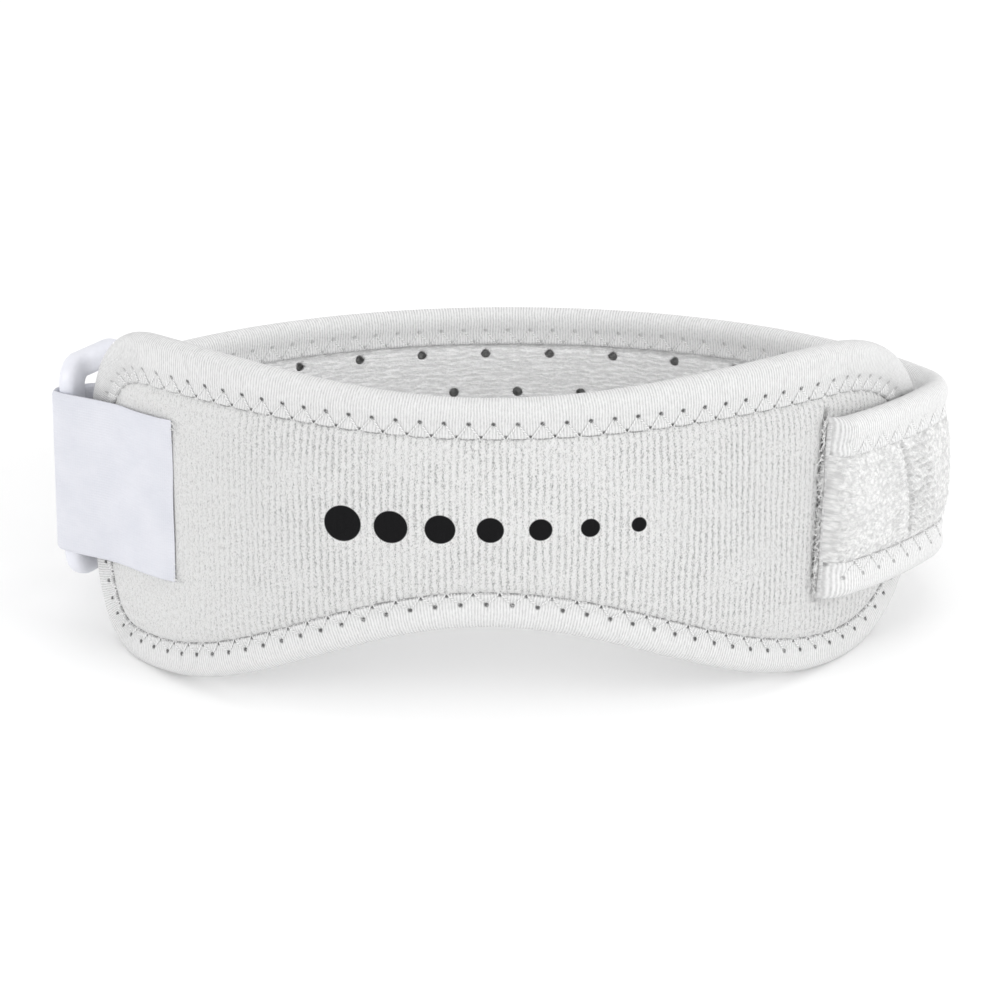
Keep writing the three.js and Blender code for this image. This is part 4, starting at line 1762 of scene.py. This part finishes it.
    def binding_tape(self, edge: Edge) -> Object:
        """One binding, an open channel along an edge of the strap.

        Args:
            edge: Which edge.

        Returns:
            The sheet.
        """
        fold = np.linspace(0.0, 1.0, 10)[:-1] ** 1.6
        fold = fold * self.end_fold * self.stitches / (self.end - self.start)
        rest = np.arange(math.ceil(fold[-1] * 8) + 1, self.stitches * 8 + 1) / 8.0
        stitch = np.concatenate([fold, rest])
        inward, out, v = self.binding.shell(stitch)
        z = edge.value * (self.height / 2.0 - inward)
        points = self.at(self.along(stitch)[:, None], out, z)
        surface = Surface.grid(points, stitch, v, around=True, capped=True)
        name = f"strap_binding_{edge.name.lower()}"
        piece = surface.facing_out().to_object(f"{name}_tape", self.work.stance)
        top = edge is Edge.TOP
        # Painted light: the strap's bindings take a lighter copy of the panel binding's tape colour for the
        # brighter light on them, and a weaker painted seam shade, weakest on the top edge
        finish = BindingTape(
            pitch=(self.end - self.start) / self.stitches,
            light=(0.80, 0.80, 0.80),
            needle_share=0.3 if top else 0.5,
            edge_share=0.1,
            leg_share=0.0,
        )
        self.work.finish(piece, finish.make(f"{name}_cloth"), "binding_tape", name)
        flat = (self.binding.flat_width, (self.end - self.start) * MM)
        return piece

    def seam(self, side: Side) -> Object:
        """The zigzag seams of both bindings on one face.

        Args:
            side: Which face.

        Returns:
            The seams.
        """
        stitch, inward, height = self.binding.seam(self.stitches, closed=False)
        kept = stitch > 0.7
        stitch, inward, height = stitch[kept], inward[kept], height[kept]
        out = side.value * (self.binding.face(np.minimum(inward, 5.5), stitch) + height)
        s = self.along(stitch)
        parts = []
        for edge in Edge:
            path = self.at(s, out, edge.value * (self.height / 2.0 - inward))
            outward = self.work.loop.strap.outward(s) * side.value
            parts.append(tube(path, outward, np.full(len(path), self.binding.thread), closed=False))
        piece = Surface.joined(parts).to_object(f"strap_zigzag_{side.name.lower()}", self.work.stance)
        return self.work.finish(piece, self.work.thread, "binding_tape")

    def fuzz(self, fibre: Material) -> Object:
        """Loose fibres: many short ones over the pile, and longer ones out of the crease of the sewn end.

        Args:
            fibre: The fibres' material.

        Returns:
            The fibres.
        """
        loop = self.work.loop
        random = np.random.default_rng(23)
        count, edge = self.pile_fibres, self.crease_fibres
        over_pile = random.uniform(self.start + 0.8, self.fibres_until, count)
        s = np.concatenate([over_pile, random.normal(0.25, 0.4, edge) + self.start])
        reach = self.height / 2.0 - 0.6
        pile_z = random.uniform(-self.pile_reach, self.pile_reach, count)
        z = np.concatenate([pile_z, random.uniform(-reach, reach, edge)])
        at_end = np.arange(count + edge) >= count
        sunk = -np.where(at_end, self.crease_depth, self.pile_depth)
        in_crease = loop.strap.point(s + loop.end_slant * z, sunk, loop.level + z)
        on_pile = self.at(s, self.cover_face(s, z) + sunk, z)
        roots = np.where(at_end[:, None], in_crease, on_pile)
        outward = loop.strap.outward(s)
        along = np.cross(UP, outward)
        every = len(s)
        length = np.where(at_end, random.uniform(0.6, 2.2, every), random.uniform(0.5, 1.5, every))
        crease_angle = random.normal(0.0, 0.75, every) + np.pi * (random.random(every) < 0.35)
        pile_angle = random.normal(0.0, 0.55, every) + np.pi * (random.random(every) < 0.5)
        angle = np.where(at_end, crease_angle, pile_angle)[:, None]
        rise = np.where(at_end, random.uniform(0.15, 0.8, every), random.uniform(0.1, 0.5, every))
        aims = length[:, None] * (np.cos(angle) * along + np.sin(angle) * UP + rise[:, None] * outward)
        curl = random.normal(0.0, 0.45, every)
        fall = rise * random.uniform(0.6, 1.0, every)
        bends = length[:, None] * (curl[:, None] * UP - fall[:, None] * outward)
        surface = fibres(roots, aims, bends, self.fibre_radius)
        piece = surface.to_object("strap_cover_fuzz", self.work.stance)
        return self.work.finish(piece, fibre, "loop_cloth")

    def build(self) -> None:
        """Builds and dresses the strap."""
        self.cover_pile()
        self.fuzz(FuzzFibre().make())
        self.lining_knit()
        for edge in Edge:
            self.binding_tape(edge)
        for side in Side:
            self.seam(side)


@dataclass(frozen=True)
class SlideRing:
    """Moulded plastic ring between the hook tape and the webbing tab."""

    work: Workshop
    length: float = 17.0
    height: float = 35.6
    raised: float = 0.3
    bar: float = 4.0
    thickness: float = 3.4
    corner: float = 4.0
    slot_corner: float = 0.9
    squareness: float = 0.72
    turn: float = 8.0

    @staticmethod
    def frame(loop: Loop, outline: Outline) -> tuple[Array, Array, Array, Array]:
        """Place and directions of the ring.

        Args:
            loop: The loop.
            outline: The panel's outline.

        Returns:
            Middle of the ring, middle of its front bar, its direction from front to back bar, and outward.
        """
        bar_at = loop.ring_bar(outline.tip)
        front = loop.strap.point(bar_at, 0.0, loop.ring_level)
        back = loop.strap.point(bar_at - loop.ring_span, 0.0, loop.ring_level)
        angle = math.atan2(back[1] - front[1], back[0] - front[0]) - math.radians(SlideRing.turn)
        along = np.array([math.cos(angle), math.sin(angle), 0.0])
        outward = np.array([-math.sin(angle), math.cos(angle), 0.0])
        middle = front + along * loop.ring_span / 2.0 + np.array([0.0, 0.0, SlideRing.raised])
        return middle, front, along, outward

    def rim(self, width: float, height: float, radius: float) -> Array:
        """Rounded rectangle as points, 13 to each corner and 13 between corners.

        Args:
            width: Whole width.
            height: Whole height.
            radius: Corner radius.

        Returns:
            Array of shape (count, 2).
        """
        turn = np.radians(np.linspace(0.0, 90.0, 13))
        parts = []
        for quarter in range(4):
            x = (width / 2.0 - radius) * (1.0 if quarter in (0, 3) else -1.0)
            y = (height / 2.0 - radius) * (1.0 if quarter in (0, 1) else -1.0)
            angle = turn + quarter * np.pi / 2.0
            parts.append(np.column_stack([x + radius * np.cos(angle), y + radius * np.sin(angle)]))
        straight = [
            parts[k][-1] + (parts[(k + 1) % 4][0] - parts[k][-1]) * np.linspace(0.0, 1.0, 15)[1:-1, None]
            for k in range(4)
        ]
        return np.concatenate([piece for pair in zip(parts, straight) for piece in pair])

    def moulding(self) -> Object:
        """The ring, a rounded section carried round between its outer and inner rims.

        The section is a superellipse: the share across is sign(cos t) * |cos t| ** 0.72, and the share
        through the same of the sine.

        Returns:
            The ring.
        """
        outer = self.rim(self.length, self.height, self.corner)
        inner = self.rim(self.length - 2.0 * self.bar, self.height - 2.0 * self.bar, self.slot_corner)
        t = np.linspace(0.0, 2.0 * np.pi, 33)[:-1]
        across = np.sign(np.cos(t)) * np.abs(np.cos(t)) ** self.squareness
        through = np.sign(np.sin(t)) * np.abs(np.sin(t)) ** self.squareness * self.thickness / 2.0
        flat = (outer + inner)[:, None] / 2.0 + (outer - inner)[:, None] / 2.0 * across[None, :, None]
        middle, _, along, outward = self.frame(self.work.loop, self.work.outline)
        points = middle + flat[..., :1] * along + flat[..., 1:] * UP + through[None, :, None] * outward
        u = np.arange(len(outer) + 1) / 4.0
        v = np.arange(len(t) + 1) / 4.0
        surface = Surface.grid(points, u, v, around=True, closed=True).facing_out()
        piece = surface.to_object("slide_ring_moulding", self.work.stance)
        return self.work.finish(piece, RingPlastic().make(), "ring_plastic", "slide_ring")


def smooth_route(points: Array, count: int) -> Array:
    """Curve through points, as a centripetal Catmull-Rom spline at even distances.

    Each stretch is a Hermite curve. Its end slopes come from the chords on both sides, each divided by
    the square root of its length, and the line is carried on straight past both ends.

    Args:
        points: Points that the curve passes, of shape (n, 3).
        count: Number of points wanted.

    Returns:
        Array of shape (count, 3).
    """
    held = np.concatenate([[2.0 * points[0] - points[1]], points, [2.0 * points[-1] - points[-2]]])
    chord = np.sqrt(np.linalg.norm(np.diff(held, axis=0), axis=1))[:, None]
    p0, p1, p2, p3 = held[:-3], held[1:-2], held[2:-1], held[3:]
    d0, d1, d2 = chord[:-2], chord[1:-1], chord[2:]
    slope1 = ((p1 - p0) / d0 - (p2 - p0) / (d0 + d1) + (p2 - p1) / d1) * d1
    slope2 = ((p2 - p1) / d1 - (p3 - p1) / (d1 + d2) + (p3 - p2) / d2) * d1
    t = np.linspace(0.0, 1.0, 60)[:-1][None, :, None]
    h1 = 2 * t**3 - 3 * t**2 + 1
    h2 = t**3 - 2 * t**2 + t
    h3 = -2 * t**3 + 3 * t**2
    h4 = t**3 - t**2
    dense = p1[:, None] * h1 + slope1[:, None] * h2 + p2[:, None] * h3 + slope2[:, None] * h4
    dense = np.concatenate([dense.reshape(-1, 3), points[-1:]])
    run = np.concatenate([[0.0], np.cumsum(np.linalg.norm(np.diff(dense, axis=0), axis=1))])
    even = np.linspace(0.0, run[-1], count)
    return np.column_stack([np.interp(even, run, dense[:, k]) for k in range(3)])


def rounded_edge(z: Array, radius: float, least: float) -> Array:
    """Share of a band's thickness that rounds off its two long edges.

    The share is sqrt(1 - t ** 2), where t is how far into the radius a height lies.

    Args:
        z: Heights across the band, to both edges.
        radius: Width of the rounded strip.
        least: Square of the least share.

    Returns:
        The shares.
    """
    into = ((np.abs(z) - np.abs(z).max() + radius) / radius).clip(0.0, 1.0)
    return np.sqrt(np.clip(1.0 - into**2, least, 1.0))


def band(
    route: Array, z: Array, half: Array, lift: Array,
) -> tuple[Array, Array]:
    """Closed flat band along a route in plan.

    Args:
        route: Points of the band's middle line, of shape (count, 3).
        z: Heights across the band, over the route.
        half: Half of the thickness, of shape (count, heights).
        lift: Distance that each point stands off the middle line, of shape (count, heights).

    Returns:
        The section loops of shape (count, 2 * heights, 3), and the distances along the route.
    """
    along = np.gradient(route, axis=0)
    along /= np.linalg.norm(along, axis=1, keepdims=True)
    side = np.cross(along, UP)[:, None]
    middle = route[:, None] + z[None, :, None] * UP + lift[..., None] * side
    front = middle + half[..., None] * side
    back = (middle - half[..., None] * side)[:, ::-1]
    run = np.concatenate([[0.0], np.cumsum(np.linalg.norm(np.diff(route, axis=0), axis=1))])
    return np.concatenate([front, back], axis=1), run


@dataclass(frozen=True)
class Closure:
    """Hook tape over the ring's front bar, and the webbing tab round its back bar."""

    work: Workshop
    tape_width: float = 25.4
    tape: float = 0.9
    tape_free: float = 24.8
    tape_sewn: float = 24.0
    tab_width: float = 22.0
    tab: float = 1.0
    tab_lap: float = 8.0
    tape_steps: int = 320
    tab_steps: int = 150
    pad_half: float = 2.4
    gap: float = 0.06

    def round_bar(
        self, bar: Array, radius: float, facing: float, degrees: tuple[float, ...],
    ) -> Array:
        """Points on a circle round a bar.

        Args:
            bar: Middle of the bar.
            radius: Radius of the circle.
            facing: 1 to turn toward the ring's back bar, -1 to turn away from it.
            degrees: Angles from the bar's outer side.

        Returns:
            Array of points.
        """
        _, _, along, outward = SlideRing.frame(self.work.loop, self.work.outline)
        turn = np.radians(np.array(degrees))[:, None]
        return bar + radius * np.cos(turn) * outward + facing * radius * np.sin(turn) * along

    def tape_route(self) -> Array:
        """Route of the tape: over the panel's outer face, round the bar, through the ring and inside.

        Returns:
            Points along the tape's middle.
        """
        loop, tip = self.work.loop, self.work.outline.tip
        lift = self.gap + self.tape / 2.0
        free_at = loop.ring_bar(tip) + self.tape_free
        free = loop.pad.beside(loop.strap, free_at) - loop.pad.length
        places = free + (tip - free) * np.array([0.0, 0.3, 0.55])
        outside = loop.pad.point(places, self.pad_half + lift, loop.ring_level)
        _, bar, _, _ = SlideRing.frame(loop, self.work.outline)
        radius = SlideRing.bar / 2.0 + lift + 0.08
        over = self.round_bar(bar, radius, 1.0, (-45.0, -15.0, 15.0, 45.0, 75.0))
        forward = loop.pad.point(tip, 0.0, loop.ring_level)
        outward = loop.pad.outward(np.array(tip))
        past = np.cross(outward, UP)
        shares = np.array([[0.8], [-0.8]]) * self.pad_half
        turned = forward + past * (lift + 0.5) + shares * outward
        sewn = tip + self.tape_sewn * np.array([0.06, 0.35, 0.7, 1.0])
        inside = loop.pad.point(sewn, -self.pad_half - lift, loop.ring_level)
        return np.concatenate([outside, over, turned, inside])

    def hook_tape(self) -> Object:
        """The hook tape, thin at its edges, with its free end pressed into the knit.

        Returns:
            The sheet.
        """
        half_width = self.tape_width / 2.0
        z = half_width * np.sin(np.linspace(-np.pi / 2.0, np.pi / 2.0, 41))
        rounded = rounded_edge(z, 0.7, 0.06)
        route = smooth_route(self.tape_route(), self.tape_steps)
        run = np.linspace(0.0, 1.0, self.tape_steps)
        loose = 1.0 - smooth(0.0, 0.5, run)
        waves = 0.10 * ripple(31, 60.0 * run[:, None], z[None, :], 13.0)
        pressed = 1.0 - smooth(0.0, 0.05, run)
        lift = 0.31 * pressed[:, None] - loose[:, None] * waves
        end = np.sqrt(np.clip(1.0 - (1.0 - run / 0.012).clip(0.0, 1.0) ** 2, 0.05, 1.0))
        end = end * (1.0 - 0.7 * pressed)
        points, along = band(route, z, self.tape / 2.0 * rounded[None, :] * end[:, None], lift)
        v = np.concatenate([z, z[::-1] - BAND_BACK, z[:1] - BAND_BACK])
        surface = Surface.grid(points, along, v, around=True, capped=True).facing_out()
        piece = surface.to_object("hook_tape_band", self.work.stance)
        self.work.finish(piece, HookTapeCloth().make(), "hook_tape", "hook_tape")
        flat = (self.tape_width * MM, float(along[-1]) * MM)
        return piece

    def loose_threads(self) -> Object:
        """Short frayed threads at the corners of the tape's cut end.

        Returns:
            The threads.
        """
        random = np.random.default_rng(7)
        route = smooth_route(self.tape_route(), self.tape_steps)
        along = route[0] - route[3]
        along /= np.linalg.norm(along)
        outward = np.cross(UP, along)
        share = np.linspace(0.0, 1.0, 9)[:, None]
        parts = []
        for number in range(16):
            corner = 1.0 if number % 2 else -1.0
            height = corner * (self.tape_width / 2.0 - abs(random.normal(0.0, 2.0)) - 0.2)
            reach = random.uniform(0.5, 1.9)
            droop = random.uniform(-1.1, 1.1)
            curl = random.uniform(-0.6, 0.6)
            rise = 0.25 * share * (1.0 - share) + 0.1
            path = (
                route[2]
                + along * (reach * share + 0.3 * curl * np.sin(np.pi * share))
                + UP * (height + droop * share**2)
                - outward * (rise - 0.35)
            )
            radius = 0.075 * (1.0 - 0.5 * share[:, 0])
            parts.append(tube(path, np.broadcast_to(outward, path.shape), radius, closed=False, sides=4))
        piece = Surface.joined(parts).to_object("hook_tape_loose_threads", self.work.stance)
        return self.work.finish(piece, self.work.thread, "hook_tape")

    def ring_tab(self) -> Object:
        """The webbing tab, round the ring's back bar and over both faces of the strap's end.

        Returns:
            The sheet.
        """
        loop = self.work.loop
        end = loop.strap_end(self.work.outline.tip)
        side = SlideRing.bar / 2.0 + 0.3 + self.tab / 2.0 + 0.9
        middle, _, along, _ = SlideRing.frame(loop, self.work.outline)
        back = middle + along * loop.ring_span / 2.0
        back[2] = loop.level
        places = np.array([end - self.tab_lap, end])
        outer = loop.strap.point(places, side, loop.level)
        inner = loop.strap.point(places[::-1], -side + 0.9, loop.level)
        bend = SlideRing.bar / 2.0 + 0.6 + self.tab / 2.0
        bar = self.round_bar(back, bend, -1.0, (0.0, 45.0, 90.0, 135.0, 180.0))
        route = smooth_route(np.concatenate([outer, bar, inner]), self.tab_steps)
        half_width = self.tab_width / 2.0
        z = half_width * np.sin(np.linspace(-np.pi / 2.0, np.pi / 2.0, 33))
        half = np.broadcast_to(self.tab / 2.0 * rounded_edge(z, 0.6, 0.08), (self.tab_steps, len(z)))
        points, run = band(route, z, half, np.zeros(half.shape))
        v = np.concatenate([z, z[::-1] - BAND_BACK, z[:1] - BAND_BACK])
        surface = Surface.grid(points, run, v, around=True, capped=True).facing_out()
        piece = surface.to_object("ring_tab_band", self.work.stance)
        self.work.finish(piece, TabWebbing().make(), "webbing", "ring_tab")
        flat = (self.tab_width * MM, float(run[-1]) * MM)
        return piece

    def build(self) -> None:
        """Builds and dresses the closure."""
        self.hook_tape()
        self.loose_threads()
        self.ring_tab()


@dataclass(frozen=True)
class Studio:
    """Floor, lights and the camera at the photograph's angle to the panel."""

    work: Workshop
    elevation: float = 16.5
    distance: float = 560.0
    yaw: float = 1.8
    focal_pixels: float = 3595.0
    centre_x: float = 505.0
    centre_y: float = 459.0
    frame_pixels: float = 1000.0

    def camera(self) -> None:
        """Camera that looks at the strap's own origin from in front and above."""
        tilt, turn = math.radians(self.elevation), math.radians(self.yaw)
        yawed = np.array(Matrix.Rotation(-turn, 3, "Z"))
        away = yawed @ np.array([0.0, -math.cos(tilt), math.sin(tilt)])
        up = yawed @ np.array([0.0, math.sin(tilt), math.cos(tilt)])
        right = yawed @ np.array([1.0, 0.0, 0.0])
        stance = self.work.stance
        axes = stance.turn @ np.column_stack([right, up, away])
        place = Matrix(axes.tolist()).to_4x4()
        place.translation = stance.free(away * self.distance).tolist()
        data = bpy.data.cameras.new("photo_camera")
        data.lens = data.sensor_width * self.focal_pixels / self.frame_pixels
        data.shift_x = (self.frame_pixels / 2.0 - self.centre_x) / self.frame_pixels
        data.shift_y = (self.centre_y - self.frame_pixels / 2.0) / self.frame_pixels
        data.clip_start, data.clip_end = 0.01, 20.0
        camera = bpy.data.objects.new("photo_camera", data)
        camera.matrix_world = place
        bpy.context.scene.collection.objects.link(camera)
        bpy.context.scene.camera = camera

    def floor(self) -> None:
        """Plain pale floor."""
        mesh = bpy.data.meshes.new("floor")
        reach = 6.0
        square = [(-reach, -reach, 0.0), (reach, -reach, 0.0), (reach, reach, 0.0), (-reach, reach, 0.0)]
        mesh.from_pydata(square, [], [(0, 1, 2, 3)])
        floor = bpy.data.objects.new("floor", mesh)
        made = Maker("pale_floor", roughness=0.8, specular=0.2)
        made.shader.inputs["Base Color"].default_value = (0.93, 0.93, 0.93, 1.0)
        mesh.materials.append(made.material)
        bpy.context.scene.collection.objects.link(floor)

    def light(self, name: str, place: tuple[float, float, float], size: float, power: float) -> None:
        """Square soft light that faces the strap.

        Args:
            name: Name of the light.
            place: Where it stands, in metres.
            size: Its side in metres.
            power: Its power in watts.
        """
        data = bpy.data.lights.new(name, "AREA")
        data.shape = "SQUARE"
        data.size = size
        data.energy = power
        lamp = bpy.data.objects.new(name, data)
        away = np.array(place) - np.array([0.0, 0.0, 0.02])
        axis = Vector(away.tolist()).to_track_quat("Z", "Y").to_matrix()
        lamp.matrix_world = Matrix.Translation(place) @ axis.to_4x4()
        bpy.context.scene.collection.objects.link(lamp)

    def build(self) -> None:
        """Sets up the floor, the lights, the white surround and the camera."""
        self.floor()
        bpy.context.scene.view_settings.view_transform = "Standard"
        self.light("overhead", (0.1, 0.1, 1.2), 0.8, 1.4)
        self.light("front_left", (-1.0, -0.5, 0.4), 0.6, 4.4)
        self.light("front_right", (1.0, -0.5, 0.5), 0.6, 6.0)
        world = bpy.data.worlds.new("white_surround")
        world.use_nodes = True
        world.node_tree.nodes["Background"].inputs["Color"].default_value = (1.0, 1.0, 1.0, 1.0)
        world.node_tree.nodes["Background"].inputs["Strength"].default_value = 0.9
        bpy.context.scene.world = world
        self.camera()


def main() -> None:
    """Builds the strap's sub-assemblies in order, then the studio."""
    logging.basicConfig(level=logging.INFO, format="%(name)s: %(message)s")
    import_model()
    work = Workshop.opened()
    FrontPanel(work).build()
    Strap(work).build()
    SlideRing(work).moulding()
    Closure(work).build()
    Studio(work).build()


if __name__ == "__main__":
    main()
